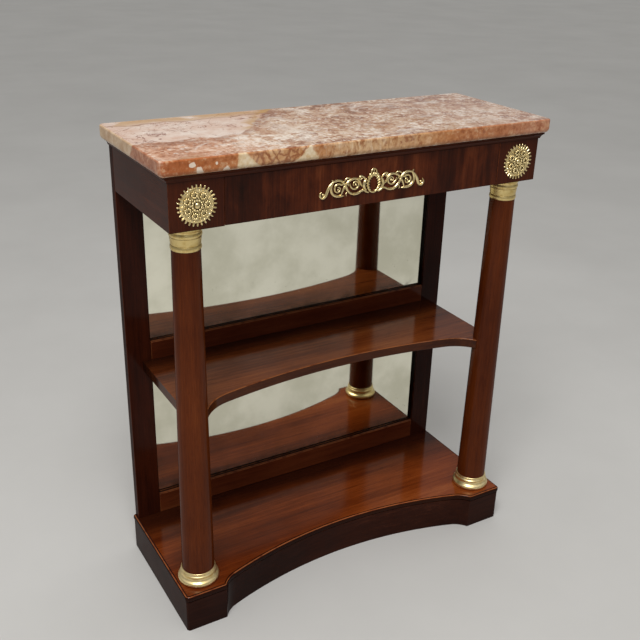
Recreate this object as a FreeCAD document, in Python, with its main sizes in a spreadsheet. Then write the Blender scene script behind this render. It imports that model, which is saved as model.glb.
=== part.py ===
"""Pier table: marble top, frieze drawer, two tapering columns, hollowed shelf and plinth, mirrored back."""
import FreeCAD
import Part
import Sketcher
import math
import os
from types import SimpleNamespace

from FreeCAD import Rotation, Vector

os.makedirs("parts", exist_ok=True)

# Driving dimensions in millimetres. The origin is on the floor, in the middle of the table.
# +X is the viewer's right, -Y the front and +Z up.
DIMENSIONS = {
    # Whole table
    "overall_height": 890,
    "depth": 285,
    # Marble top
    "top_width": 764,
    "top_overhang": 16,
    "top_thickness": 26,
    "top_corner_radius": 9,
    "top_upper_round": 3,
    "top_lower_round": 9,
    # Frieze
    "frieze_setback": 13,
    "frieze_height": 79,
    "frieze_block_width": 92,
    "frieze_block_depth": 72,
    "apron_thickness": 18,
    "top_rail_depth": 60,
    # Cornice moulding
    "moulding_height": 10.5,
    "moulding_projection": 7,
    "moulding_step": 2,
    "moulding_lip": 3,
    "moulding_quirk": 1,
    "moulding_cove_radius": 11,
    # Drawer
    "drawer_gap": 0.8,
    "drawer_lift": 1,
    "drawer_side_play": 1,
    "drawer_running_gap": 0.3,
    "drawer_front_thickness": 20,
    "drawer_front_lap": 6,
    "drawer_end_space": 40,
    "drawer_side_thickness": 10,
    "drawer_side_height": 49,
    "drawer_bottom_thickness": 6,
    "drawer_bottom_rise": 6,
    "drawer_groove_depth": 5,
    "drawer_back_thickness": 9,
    "drawer_back_drop": 3,
    "tail_flare": 2.5,
    # Drawer supports
    "runner_width": 24,
    "runner_height": 12,
    "runner_rise": 4,
    "runner_front_gap": 1,
    "guide_width": 18,
    "guide_height": 36,
    "kicker_gap": 1,
    "stop_length": 14,
    "stop_height": 10,
    # Back frame
    "frame_thickness": 18,
    "stile_width": 48,
    "bottom_rail_height": 46,
    "middle_rail_rise": 38,
    "middle_rail_drop": 24,
    "back_rail_drop": 10,
    "frame_chamfer": 2,
    # Mirrors and backboards
    "glass_thickness": 3,
    "glass_overlap": 8,
    "glass_play": 1,
    "backboard_thickness": 6,
    "backboard_overlap": 17,
    # Shelf
    "shelf_height": 436,
    "shelf_thickness": 19,
    "shelf_reach": 10.5,
    "shelf_setback": 46,
    "shelf_ear_width": 39,
    "shelf_recess_depth": 60,
    "shelf_turn_run": 52,
    "shelf_turn_depth": 34,
    "shelf_edge_round": 2,
    # Columns with their brass mounts
    "column_inset": 40,
    "column_setback": 49,
    "column_foot_radius": 30.2,
    "column_head_radius": 24,
    "column_neck_cut": 4,
    "tenon_radius": 12,
    "tenon_length": 36,
    "sleeve_clearance": 0.3,
    "capital_height": 39.5,
    "capital_foot_out": 0.5,
    "capital_foot_height": 8,
    "capital_foot_bulge": 0.9,
    "capital_drum_height": 12,
    "capital_drum_flare": 1.2,
    "capital_groove": 1,
    "capital_groove_depth": 0.6,
    "capital_band_height": 7.5,
    "capital_band_bulge": 1.2,
    "capital_hollow_radius": 6,
    "abacus_radius": 28,
    "abacus_height": 5,
    "ring_height": 28,
    "ring_radius": 38.4,
    "ring_torus_height": 11,
    "ring_torus_bulge": 3.6,
    "ring_hollow_radius": 7,
    "ring_collar_out": 1.4,
    "ring_lip_out": 0.8,
    "ring_bead_height": 3,
    "ring_bead_bulge": 0.8,
    "ring_neck_radius": 4,
    # Base
    "base_height": 79,
    "base_projection": 5,
    "base_board_thickness": 13,
    "base_overhang": 1.5,
    "base_edge_round": 5,
    "base_block_width": 81,
    "base_corner_round": 6,
    "base_recess_depth": 65,
    "base_turn_run": 29,
    "base_turn_depth": 23,
    "plinth_thickness": 18,
    "plinth_front_web": 22,
    "glue_block_size": 32,
    "glue_block_height": 48,
    # Gilt mounts
    "rosette_radius": 33.5,
    "rosette_disc_radius": 28,
    "rosette_plate": 1.6,
    "rosette_ray_root": 1.5,
    "rosette_ray_width": 3,
    "rosette_ray_tip": 1.2,
    "rosette_boss_radius": 6.5,
    "rosette_boss_step": 1.4,
    "rosette_boss_slope": 1,
    "rosette_boss_height": 5,
    "rosette_loop_ring": 17.3,
    "rosette_loop_radius": 5.8,
    "rosette_loop_band": 2.6,
    "rosette_loop_height": 1.6,
    "mount_thickness": 3.2,
    "mount_rise": 36,
    "mount_oval_width": 26,
    "mount_oval_height": 33,
    "mount_band": 4.2,
    "mount_wreath_band": 4.5,
    "mount_bud_height": 4.4,
    # Small fixings
    "dowel_radius": 4,
    "dowel_depth": 12,
    "dowel_reach": 20,
    "screw_head_radius": 2.8,
    "screw_shank_radius": 1.2,
    "screw_length": 13,
    "pin_head_radius": 1.3,
    "pin_head_height": 0.8,
    "pin_shank_radius": 0.6,
    "pin_length": 12,
}
RAY_COUNT = 28
LOOP_COUNT = 7
TAIL_COUNT = 3
SCREWS_PER_EDGE = 3
STILE_DOWEL_SHARES = (0.25, 0.75)
SHELF_DOWEL_SHARES = (-0.75, -0.25, 0.25, 0.75)

doc = FreeCAD.newDocument("PierTable")
sheet = doc.addObject("Spreadsheet::Sheet", "Sizes")
for row, (alias, number) in enumerate(DIMENSIONS.items(), start=1):
    sheet.set(f"A{row}", alias)
    sheet.set(f"B{row}", str(number))
    sheet.setAlias(f"B{row}", alias)
doc.recompute()


class Size:
    """A length that knows its value and the expression on the sheet's cells that gives it."""

    def __init__(self, text, value):
        self.text = text
        self.value = value

    @staticmethod
    def of(length):
        if isinstance(length, Size):
            return length
        return Size(repr(float(length)), float(length))

    def __add__(self, other):
        other = Size.of(other)
        return Size(f"({self.text} + {other.text})", self.value + other.value)

    def __sub__(self, other):
        other = Size.of(other)
        return Size(f"({self.text} - {other.text})", self.value - other.value)

    def __mul__(self, other):
        other = Size.of(other)
        return Size(f"({self.text} * {other.text})", self.value * other.value)

    def __truediv__(self, other):
        other = Size.of(other)
        return Size(f"({self.text} / {other.text})", self.value / other.value)

    def __neg__(self):
        return Size(f"(-1 * {self.text})", -self.value)

    def __radd__(self, other):
        return Size.of(other) + self

    def __rsub__(self, other):
        return Size.of(other) - self

    def __rmul__(self, other):
        return Size.of(other) * self


s = SimpleNamespace(**{name: Size(f"Sizes.{name}", float(sheet.get(name))) for name in DIMENSIONS})
ZERO = Size.of(0)
SIDES = (("left", -1), ("right", 1))
HALF_RIGHT_ANGLE_COSINE = 0.5 ** 0.5

pieces = []


def node(piece, label):
    """Names a finished sub-part and puts it on the list that is written out."""
    piece.Label = label
    pieces.append(piece)
    return piece


def bind(target, name, length):
    target.setExpression(name, Size.of(length).text)


def place(target, x, y, z):
    for axis, length in zip("xyz", (x, y, z)):
        bind(target, f"Placement.Base.{axis}", length)


def span(side, inner, outer):
    """Low and high X of a piece that reaches from inner to outer on one side of the middle."""
    return (inner, outer) if side > 0 else (-outer, -inner)


def box(name, x, y, z):
    """A board given by the low and high ends of its three spans."""
    cuboid = doc.addObject("Part::Box", name)
    for length_name, (low, high) in zip(("Length", "Width", "Height"), (x, y, z)):
        bind(cuboid, length_name, high - low)
    place(cuboid, x[0], y[0], z[0])
    return cuboid


def cylinder(name, radius, height, at, turn=Rotation()):
    rod = doc.addObject("Part::Cylinder", name)
    rod.Placement.Rotation = turn
    bind(rod, "Radius", radius)
    bind(rod, "Height", height)
    place(rod, *at)
    return rod


def cut(name, base, *tools):
    """Cuts the tools out of the base, one after the other."""
    for index, tool in enumerate(tools):
        result = doc.addObject("Part::Cut", f"{name}_cut{index}")
        result.Base = base
        result.Tool = tool
        base = result
    return base


def group(name, members):
    """Several like pieces that share one node."""
    together = doc.addObject("Part::Compound", name)
    together.Links = members
    return together


def new_body(name):
    return doc.addObject("PartDesign::Body", name)


def new_sketch(body, plane_role, name):
    sketch = body.newObject("Sketcher::SketchObject", name)
    plane = next(feature for feature in body.Origin.OriginFeatures if feature.Role == plane_role)
    sketch.AttachmentSupport = [(plane, "")]
    sketch.MapMode = "FlatFace"
    return sketch


def arc_middle(start, end, radius, side):
    """The middle of the shorter arc between two points; side +1 bulges to the left of the way along it."""
    chord = end - start
    half = chord.Length / 2
    rise = radius - math.sqrt(radius ** 2 - half ** 2)
    left = Vector(-chord.y, chord.x, 0).normalize()
    return (start + end) / 2 + left * (side * rise)


def bulge_radius(chord, rise):
    """The radius of the arc that rises this far over a chord."""
    return (chord * chord / 4 + rise * rise) / (2 * rise)


def draw(sketch, corners):
    """Draws a closed outline. A corner is (u, v), or (u, v, radius, side) where an arc leads on from it."""
    count = len(corners)
    points = [Vector(Size.of(corner[0]).value, Size.of(corner[1]).value, 0) for corner in corners]
    first = sketch.GeometryCount
    ends = []
    for index, corner in enumerate(corners):
        start = points[index]
        end = points[(index + 1) % count]
        if len(corner) == 2:
            sketch.addGeometry(Part.LineSegment(start, end), False)
        else:
            middle = arc_middle(start, end, Size.of(corner[2]).value, corner[3])
            sketch.addGeometry(Part.Arc(start, middle, end), False)
        forward = (sketch.getPoint(first + index, 1) - start).Length < 1e-6
        ends.append((1, 2) if forward else (2, 1))
    for index, corner in enumerate(corners):
        here = first + index
        after = (index + 1) % count
        joined = Sketcher.Constraint("Coincident", here, ends[index][1], first + after, ends[after][0])
        sketch.addConstraint(joined)
        for kind, length in (("DistanceX", corner[0]), ("DistanceY", corner[1])):
            length = Size.of(length)
            constraint = Sketcher.Constraint(kind, -1, 1, here, ends[index][0], length.value)
            number = sketch.addConstraint(constraint)
            bind(sketch, f"Constraints[{number}]", length)
        if len(corner) > 2:
            radius = Size.of(corner[2])
            number = sketch.addConstraint(Sketcher.Constraint("Radius", here, radius.value))
            bind(sketch, f"Constraints[{number}]", radius)


def draw_circle(sketch, u, v, radius):
    u = Size.of(u)
    v = Size.of(v)
    circle = Part.Circle(Vector(u.value, v.value, 0), Vector(0, 0, 1), radius.value)
    index = sketch.addGeometry(circle, False)
    for kind, length in (("DistanceX", u), ("DistanceY", v)):
        number = sketch.addConstraint(Sketcher.Constraint(kind, -1, 1, index, 3, length.value))
        bind(sketch, f"Constraints[{number}]", length)
    number = sketch.addConstraint(Sketcher.Constraint("Radius", index, radius.value))
    bind(sketch, f"Constraints[{number}]", radius)


def pad(body, sketch, height, name):
    feature = body.newObject("PartDesign::Pad", name)
    feature.Profile = sketch
    bind(feature, "Length", height)
    return feature


def board(name, corners, low, high):
    """A board with a drawn outline, standing from the height low to the height high."""
    body = new_body(name)
    sketch = new_sketch(body, "XY_Plane", f"{name}_outline")
    draw(sketch, corners)
    pad(body, sketch, high - low, f"{name}_pad")
    bind(body, "Placement.Base.z", low)
    return body


def turned(name, corners):
    """A turned piece: the outline of its half section, in radius and height, goes round the Z axis."""
    body = new_body(name)
    sketch = new_sketch(body, "XZ_Plane", f"{name}_section")
    draw(sketch, corners)
    revolution = body.newObject("PartDesign::Revolution", f"{name}_turning")
    revolution.Profile = sketch
    revolution.ReferenceAxis = (sketch, ["V_Axis"])
    revolution.Angle = 360
    return body


def round_edges(body, radius, chosen, name):
    """Rounds the edges of the body's last shape for which chosen(edge) holds."""
    doc.recompute()
    base = body.Tip
    names = [f"Edge{index}" for index, edge in enumerate(base.Shape.Edges, start=1) if chosen(edge)]
    feature = body.newObject("PartDesign::Fillet", name)
    feature.Base = (base, names)
    bind(feature, "Radius", radius)
    return feature


def level(edge, height):
    """True for an edge that lies wholly at one height."""
    return all(abs(vertex.Z - height.value) < 1e-4 for vertex in edge.Vertexes)


def upright(edge):
    return edge.Vertexes[0].Z != edge.Vertexes[-1].Z


def mirrored(corners):
    """The outline of the other hand: the corners in reverse order, with their X turned round."""
    count = len(corners)
    result = []
    for index in range(count):
        corner = corners[count - 1 - index]
        leading = corners[count - 2 - index]
        flipped = (-Size.of(corner[0]), corner[1])
        if len(leading) > 2:
            flipped += (leading[2], leading[3])
        result.append(flipped)
    return result


# Main planes
front = -s.depth / 2
back = s.depth / 2
carcass_top = s.overall_height - s.top_thickness
frieze_top = carcass_top - s.moulding_height
frieze_bottom = frieze_top - s.frieze_height
frieze_front = front + s.frieze_setback
half_top = s.top_width / 2
carcass_side = half_top - s.top_overhang
drawer_opening = carcass_side - s.frieze_block_width
frame_front = back - s.frame_thickness
stile_inside = carcass_side - s.stile_width
base_top = s.base_height
plinth_top = base_top - s.base_board_thickness
column_x = carcass_side - s.column_inset
column_y = front + s.column_setback
shelf_top = s.shelf_height
shelf_bottom = shelf_top - s.shelf_thickness


# Marble top: a slab with rounded corners and eased edges, lying on the carcass by its own weight.
marble = board("marble_slab", [(-half_top, front), (half_top, front), (half_top, back), (-half_top, back)],
               carcass_top, s.overall_height)
round_edges(marble, s.top_corner_radius, upright, "slab_corners")
round_edges(marble, s.top_lower_round, lambda edge: level(edge, ZERO), "slab_lower_edge")
round_edges(marble, s.top_upper_round, lambda edge: level(edge, s.top_thickness), "slab_upper_edge")
node(marble, "marble_top")


# Frieze: corner blocks over the columns and side aprons, mitred together at the front corners.
mitre_inside = carcass_side - s.apron_thickness
mitre_behind = frieze_front + s.apron_thickness
block_back = frieze_front + s.frieze_block_depth
frieze_blocks = {}
for hand, side in SIDES:
    block_corners = [(drawer_opening, frieze_front), (carcass_side, frieze_front),
                     (mitre_inside, mitre_behind), (mitre_inside, block_back), (drawer_opening, block_back)]
    apron_corners = [(carcass_side, frieze_front), (carcass_side, frame_front), (mitre_inside, frame_front),
                     (mitre_inside, mitre_behind)]
    if side < 0:
        block_corners = mirrored(block_corners)
        apron_corners = mirrored(apron_corners)
    frieze_blocks[hand] = board(f"block_{hand}", block_corners, frieze_bottom, carcass_top)
    apron = board(f"apron_{hand}", apron_corners, frieze_bottom, carcass_top)
    node(apron, f"side_apron_{hand}")

# Front rail over the drawer and back rail at the head of the back frame.
top_rail_back = frieze_front + s.top_rail_depth
top_rail = box("rail_over_drawer", (-drawer_opening, drawer_opening), (frieze_front, top_rail_back),
               (frieze_top, carcass_top))
node(top_rail, "top_front_rail")
back_rail_bottom = frieze_bottom - s.back_rail_drop


# Cornice moulding: three lengths glued round the head of the frieze, mitred at the front corners.
def moulding(name, length, mitred_ends):
    """A length along X with its back on y = 0; a mitred end runs out at 45 degrees with the projection."""
    out = s.moulding_projection
    lip = s.moulding_height - s.moulding_lip
    body = new_body(name)
    section = new_sketch(body, "YZ_Plane", f"{name}_section")
    draw(section, [(ZERO, ZERO), (ZERO, s.moulding_height), (-out, s.moulding_height), (-out, lip),
                   (s.moulding_quirk - out, lip, s.moulding_cove_radius, 1),
                   (-s.moulding_step, s.moulding_step / 2), (-s.moulding_step, ZERO)])
    run = pad(body, section, length + 2 * out, f"{name}_run")
    run.Midplane = True
    doc.recompute()
    half = length / 2
    end = half + 2 * out
    for hand, side in SIDES:
        cutter = new_sketch(body, "XY_Plane", f"{name}_end_{hand}")
        if hand in mitred_ends:
            corners = [(half, ZERO), (end, -2 * out), (end, out), (half, out)]
        else:
            corners = [(half, -2 * out), (end, -2 * out), (end, out), (half, out)]
        draw(cutter, corners if side > 0 else mirrored(corners))
        pocket = body.newObject("PartDesign::Pocket", f"{name}_trim_{hand}")
        pocket.Profile = cutter
        pocket.Type = "ThroughAll"
        pocket.Midplane = True
        doc.recompute()
    return body


front_moulding = moulding("moulding_front", 2 * carcass_side, ("left", "right"))
place(front_moulding, ZERO, frieze_front, frieze_top)
node(front_moulding, "cornice_moulding_front")
side_run = back - frieze_front
side_middle = (back + frieze_front) / 2
for hand, side in SIDES:
    front_end = "right" if side < 0 else "left"
    side_moulding = moulding(f"moulding_{hand}", side_run, (front_end,))
    side_moulding.Placement.Rotation = Rotation(Vector(0, 0, 1), 90 * side)
    place(side_moulding, side * carcass_side, side_middle, frieze_top)
    node(side_moulding, f"cornice_moulding_{hand}")


# Back frame: two stiles and three rails, rebated at the back for the glass and its backboard.
glass_front = back - s.backboard_thickness - s.glass_thickness
board_front = back - s.backboard_thickness
middle_rail_top = shelf_top + s.middle_rail_rise
middle_rail_bottom = shelf_bottom - s.middle_rail_drop
bottom_rail_top = base_top + s.bottom_rail_height
openings = {"lower": (bottom_rail_top, middle_rail_bottom), "upper": (middle_rail_top, back_rail_bottom)}


def rebates(name):
    """Cutters for the stepped rebates of both mirror openings."""
    cutters = []
    for opening, (low, high) in openings.items():
        for step, overlap, y_low in (("glass", s.glass_overlap, glass_front),
                                     ("backing", s.backboard_overlap, board_front)):
            reach = stile_inside + overlap
            cutters.append(box(f"{name}_{opening}_{step}", (-reach, reach), (y_low, back),
                               (low - overlap, high + overlap)))
    return cutters


def chamfer_line(name, corners, length, turn, at):
    """A three-sided strip along its own Z axis, which takes the sharp edge off a frame piece."""
    body = new_body(name)
    sketch = new_sketch(body, "XY_Plane", f"{name}_section")
    draw(sketch, corners)
    pad(body, sketch, length, f"{name}_strip")
    body.Placement.Rotation = turn
    place(body, *at)
    return body


frame_rebates = rebates("rebate")
frame_chamfers = []
bevel = s.frame_chamfer
along_x = Rotation(Vector(0, 1, 0), Vector(0, 0, 1), Vector(1, 0, 0), "XYZ")
for opening, (low, high) in openings.items():
    for hand, side in SIDES:
        corners = [(ZERO, ZERO), (bevel * side, ZERO), (ZERO, bevel)]
        if side < 0:
            corners = [corners[0], corners[2], corners[1]]
        foot = (side * stile_inside, frame_front, low - bevel)
        run = high - low + 2 * bevel
        frame_chamfers.append(chamfer_line(f"bevel_{opening}_{hand}", corners, run, Rotation(), foot))
    for edge, height, turn in (("sill", low, -1), ("head", high, 1)):
        corners = [(ZERO, ZERO), (bevel, ZERO), (ZERO, bevel * turn)]
        if turn < 0:
            corners = [corners[0], corners[2], corners[1]]
        foot = (-stile_inside - bevel, frame_front, height)
        run = 2 * (stile_inside + bevel)
        frame_chamfers.append(chamfer_line(f"bevel_{opening}_{edge}", corners, run, along_x, foot))

# Screws that hold the backboards, a row along each edge of each board.
screws = []
facing_back = Rotation(Vector(1, 0, 0), 90)
screw_inset = (s.backboard_overlap - s.glass_overlap) / 2


def screw(name, x, z):
    """A countersunk screw driven from the back: a tapered head, then the shank."""
    head = doc.addObject("Part::Cone", f"{name}_head")
    head.Placement.Rotation = facing_back
    bind(head, "Radius1", s.screw_head_radius)
    bind(head, "Radius2", s.screw_shank_radius)
    bind(head, "Height", s.screw_head_radius - s.screw_shank_radius)
    place(head, x, back, z)
    shank = cylinder(f"{name}_shank", s.screw_shank_radius, s.screw_length, (x, back, z), facing_back)
    whole = doc.addObject("Part::Fuse", name)
    whole.Base = head
    whole.Tool = shank
    return whole


for opening, (low, high) in openings.items():
    edge_x = stile_inside + s.backboard_overlap - screw_inset
    edge_z = (low - s.backboard_overlap + screw_inset, high + s.backboard_overlap - screw_inset)
    for index in range(SCREWS_PER_EDGE):
        share = (2 * index + 1) / SCREWS_PER_EDGE - 1
        for end, height in zip(("sill", "head"), edge_z):
            screws.append(screw(f"screw_{opening}_{end}{index}", share * edge_x, height))
        middle = (low + high) / 2
        for hand, side in SIDES:
            screws.append(screw(f"screw_{opening}_{hand}{index}", side * edge_x,
                                middle + share * ((high - low) / 2)))
backboard_screws = group("screw_set", screws)
node(backboard_screws, "backboard_screws")

# Dowels between the stiles and the base board, and between the shelf and the middle rail.
dowel_length = s.dowel_depth + s.dowel_reach
dowel_y = (frame_front + board_front) / 2
stile_dowels = []
for hand, side in SIDES:
    for index, share in enumerate(STILE_DOWEL_SHARES):
        foot = (side * (stile_inside + s.stile_width * share), dowel_y, base_top - s.dowel_depth)
        stile_dowels.append(cylinder(f"stile_dowel_{hand}{index}", s.dowel_radius, dowel_length, foot))
stile_dowel_set = group("stile_dowel_set", stile_dowels)
node(stile_dowel_set, "stile_dowels")
shelf_dowels = []
shelf_middle = (shelf_top + shelf_bottom) / 2
for index, share in enumerate(SHELF_DOWEL_SHARES):
    foot = (share * stile_inside, frame_front + s.dowel_depth, shelf_middle)
    shelf_dowels.append(cylinder(f"shelf_dowel{index}", s.dowel_radius, dowel_length, foot, facing_back))
shelf_dowel_set = group("shelf_dowel_set", shelf_dowels)
node(shelf_dowel_set, "shelf_dowels")

for hand, side in SIDES:
    blank = box(f"stile_blank_{hand}", span(side, stile_inside, carcass_side), (frame_front, back),
                (base_top, carcass_top))
    own_bevels = [bevel_strip for bevel_strip in frame_chamfers if bevel_strip.Name.endswith(hand)]
    stile = cut(f"stile_{hand}", blank, *frame_rebates, *own_bevels, backboard_screws, stile_dowel_set)
    node(stile, f"rear_stile_{hand}")
RAILS = {
    "bottom_rail": (base_top, bottom_rail_top, ("lower_sill",)),
    "middle_rail": (middle_rail_bottom, middle_rail_top, ("lower_head", "upper_sill")),
    "back_top_rail": (back_rail_bottom, carcass_top, ("upper_head",)),
}
for rail_name, (low, high, edges) in RAILS.items():
    blank = box(f"{rail_name}_blank", (-stile_inside, stile_inside), (frame_front, back), (low, high))
    own_bevels = [bevel_strip for bevel_strip in frame_chamfers if bevel_strip.Name.endswith(edges)]
    rail = cut(rail_name, blank, *frame_rebates, *own_bevels, backboard_screws, shelf_dowel_set)
    node(rail, rail_name)

# Mirror plates and the boards behind them, standing on the sills of their rebates.
for opening, (low, high) in openings.items():
    glass_reach = stile_inside + s.glass_overlap - s.glass_play
    glass = box(f"glass_{opening}", (-glass_reach, glass_reach), (glass_front, board_front),
                (low - s.glass_overlap, high + s.glass_overlap - s.glass_play))
    node(glass, f"mirror_{opening}")
    board_reach = stile_inside + s.backboard_overlap - s.glass_play
    panel = box(f"panel_{opening}", (-board_reach, board_reach), (board_front, back),
                (low - s.backboard_overlap, high + s.backboard_overlap - s.glass_play))
    node(cut(f"panel_{opening}", panel, backboard_screws), f"backboard_{opening}")


# Middle shelf: hollowed front between two ears that are housed in the columns, back edge on the frame.
def hollow(x, y, depth, turn_run, turn_depth):
    """A hollowed front in plan, from one end to the other: a shallow arc with a tighter turn at each end."""
    arc_x = x - turn_run
    arc_y = y + turn_depth
    sag = depth - turn_depth
    arc_radius = bulge_radius(2 * arc_x, sag)
    # The turn leaves the arc without a kink, so its radius follows from its chord and the arc's slope there.
    chord_squared = turn_run * turn_run + turn_depth * turn_depth
    turn_off_arc = (turn_depth * (arc_radius - sag) - turn_run * arc_x) / arc_radius
    turn_radius = chord_squared / (2 * turn_off_arc)
    return [(-x, y, turn_radius, 1), (-arc_x, arc_y, arc_radius, 1), (arc_x, arc_y, turn_radius, 1), (x, y)]


shelf_side = column_x + s.shelf_reach
ear_inside = shelf_side - s.shelf_ear_width
ear_front = front + s.shelf_setback
shelf_hollow = hollow(ear_inside, ear_front, s.shelf_recess_depth, s.shelf_turn_run, s.shelf_turn_depth)
shelf = board("shelf_board", [(-shelf_side, ear_front), *shelf_hollow, (shelf_side, ear_front),
                              (shelf_side, frame_front), (-shelf_side, frame_front)], shelf_bottom, shelf_top)
turn_end = ear_front + s.shelf_turn_depth


def shelf_front_edge(edge, height):
    """The edges round the ears and the hollow, at one height, without the back and the two sides."""
    inside = all(vertex.Y < turn_end.value + 1e-3 for vertex in edge.Vertexes)
    return level(edge, height) and inside


for edge_name, height in (("upper", s.shelf_thickness), ("lower", ZERO)):
    round_edges(shelf, s.shelf_edge_round, lambda edge, z=height: shelf_front_edge(edge, z),
                f"shelf_{edge_name}_edge")
shelf_finished = cut("shelf", shelf, shelf_dowel_set)
node(shelf_finished, "middle_shelf")


# Columns: tapering shafts with a neck at each end for the brass sleeves and a tenon beyond it.
shaft_foot = base_top + s.ring_height
shaft_head = frieze_bottom - s.capital_height
foot_neck = s.column_foot_radius - s.column_neck_cut
head_neck = s.column_head_radius - s.column_neck_cut
columns = {}
for hand, side in SIDES:
    shaft = turned(f"shaft_{hand}", [
        (ZERO, base_top - s.tenon_length), (s.tenon_radius, base_top - s.tenon_length),
        (s.tenon_radius, base_top), (foot_neck, base_top), (foot_neck, shaft_foot),
        (s.column_foot_radius, shaft_foot), (s.column_head_radius, shaft_head), (head_neck, shaft_head),
        (head_neck, frieze_bottom), (s.tenon_radius, frieze_bottom),
        (s.tenon_radius, frieze_bottom + s.tenon_length), (ZERO, frieze_bottom + s.tenon_length),
    ])
    place(shaft, side * column_x, column_y, ZERO)
    columns[hand] = cut(f"column_{hand}", shaft, shelf_finished)
    node(columns[hand], f"column_{hand}")

# Brass capitals: rounded foot, flared drum and rounded band parted by grooves, and a hollow under the abacus.
bore = head_neck + s.sleeve_clearance
foot_edge = s.column_head_radius + s.capital_foot_out
foot_groove = foot_edge - s.capital_groove_depth
foot_round = bulge_radius(s.capital_foot_height, s.capital_foot_bulge)
drum_foot = s.capital_foot_height + s.capital_groove
drum_edge = foot_edge + s.capital_drum_flare
drum_top = drum_foot + s.capital_drum_height
drum_groove = drum_edge - s.capital_groove_depth
band_foot = drum_top + s.capital_groove
band_top = band_foot + s.capital_band_height
band_round = bulge_radius(s.capital_band_height, s.capital_band_bulge)
abacus_foot = s.capital_height - s.abacus_height
for hand, side in SIDES:
    capital = turned(f"capital_{hand}", [
        (bore, ZERO), (foot_edge, ZERO, foot_round, -1), (foot_edge, s.capital_foot_height),
        (foot_groove, s.capital_foot_height), (foot_groove, drum_foot), (foot_edge, drum_foot),
        (drum_edge, drum_top), (drum_groove, drum_top), (drum_groove, band_foot),
        (drum_edge, band_foot, band_round, -1), (drum_edge, band_top, s.capital_hollow_radius, 1),
        (s.abacus_radius, abacus_foot), (s.abacus_radius, s.capital_height), (bore, s.capital_height),
    ])
    place(capital, side * column_x, column_y, shaft_head)
    node(capital, f"capital_{hand}")

# Brass base rings: torus, hollow, collar bead, short neck and top bead against the shaft.
bore = foot_neck + s.sleeve_clearance
lip = s.column_foot_radius + s.ring_lip_out
collar = lip + s.ring_collar_out
torus_edge = s.ring_radius - s.ring_torus_bulge
torus_round = bulge_radius(s.ring_torus_height, s.ring_torus_bulge)
bead_round = bulge_radius(s.ring_bead_height, s.ring_bead_bulge)
top_bead = s.ring_height - s.ring_bead_height
collar_top = top_bead - s.ring_bead_height
for hand, side in SIDES:
    ring = turned(f"ring_{hand}", [
        (bore, ZERO), (torus_edge, ZERO, torus_round, -1),
        (torus_edge, s.ring_torus_height, s.ring_hollow_radius, 1),
        (collar, collar_top - s.ring_bead_height, bead_round, -1),
        (collar, collar_top, s.ring_neck_radius, 1), (lip, top_bead, bead_round, -1),
        (lip, s.ring_height), (bore, s.ring_height),
    ])
    place(ring, side * column_x, column_y, base_top)
    node(ring, f"base_ring_{hand}")


# Base: a board with a rounded edge over a plinth whose front is hollowed between two corner blocks.
def base_hollow(y):
    """The hollow between the corner blocks, from a front at y."""
    return hollow(recess_x, y, s.base_recess_depth, s.base_turn_run, s.base_turn_depth)


def along_back(edge):
    return all(vertex.Y > back.value - 1e-3 for vertex in edge.Vertexes)


def front_corner(edge):
    """True for the upright edge at a front outer corner of the base board."""
    outer = abs(abs(edge.Vertexes[0].X) - base_side.value) < 1e-3
    return upright(edge) and outer and edge.Vertexes[0].Y < front.value + 1e-3


base_side = carcass_side + s.base_projection
recess_x = base_side - s.base_block_width
base_board = board("base_slab", [(-base_side, front), *base_hollow(front), (base_side, front),
                                 (base_side, back), (-base_side, back)], plinth_top, base_top)
round_edges(base_board, s.base_corner_round + s.base_overhang, front_corner, "base_corners")
for edge_name, height in (("upper", s.base_board_thickness), ("lower", ZERO)):
    round_edges(base_board, s.base_edge_round, lambda edge, z=height: level(edge, z) and not along_back(edge),
                f"base_{edge_name}_edge")
base_tools = [columns["left"], columns["right"], stile_dowel_set]
node(cut("base_board", base_board, *base_tools), "base_board")

plinth_front = front + s.base_overhang
plinth_side = base_side - s.base_overhang
plinth_inside = plinth_side - s.plinth_thickness
plinth_mitre = plinth_front + s.plinth_thickness
plinth_web_back = plinth_front + s.base_recess_depth + s.plinth_front_web
corner_inset = s.base_corner_round * (1 - HALF_RIGHT_ANGLE_COSINE)
mitre_end = (plinth_side - corner_inset, plinth_front + corner_inset)
for hand, side in SIDES:
    block_corners = [(recess_x, plinth_front),
                     (plinth_side - s.base_corner_round, plinth_front, s.base_corner_round, -1), mitre_end,
                     (plinth_inside, plinth_mitre), (plinth_inside, plinth_web_back),
                     (recess_x, plinth_web_back)]
    side_corners = [(*mitre_end, s.base_corner_round, -1), (plinth_side, plinth_front + s.base_corner_round),
                    (plinth_side, back), (plinth_inside, back), (plinth_inside, plinth_mitre)]
    if side < 0:
        block_corners = mirrored(block_corners)
        side_corners = mirrored(side_corners)
    corner_block = board(f"corner_block_{hand}", block_corners, ZERO, plinth_top)
    node(cut(f"plinth_block_{hand}", corner_block, columns[hand]), f"plinth_block_{hand}")
    node(board(f"plinth_board_{hand}", side_corners, ZERO, plinth_top), f"plinth_side_{hand}")
node(board("hollowed_front", [*base_hollow(plinth_front), (recess_x, plinth_web_back),
                              (-recess_x, plinth_web_back)], ZERO, plinth_top), "plinth_front")
node(box("plinth_back_board", (-plinth_inside, plinth_inside), (back - s.plinth_thickness, back),
         (ZERO, plinth_top)), "plinth_back")

# Glue blocks in the inner corners of the plinth, under the base board.
glue_blocks = []
leg = s.glue_block_size
for hand, side in SIDES:
    for end, wall, direction in (("front", plinth_web_back, 1), ("rear", back - s.plinth_thickness, -1)):
        corners = [(side * plinth_inside, wall), (side * (plinth_inside - leg), wall),
                   (side * plinth_inside, wall + direction * leg)]
        if side * direction > 0:
            corners = [corners[0], corners[2], corners[1]]
        glue_foot = plinth_top - s.glue_block_height
        glue_blocks.append(board(f"glue_block_{hand}_{end}", corners, glue_foot, plinth_top))
node(group("glue_block_set", glue_blocks), "plinth_glue_blocks")


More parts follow.
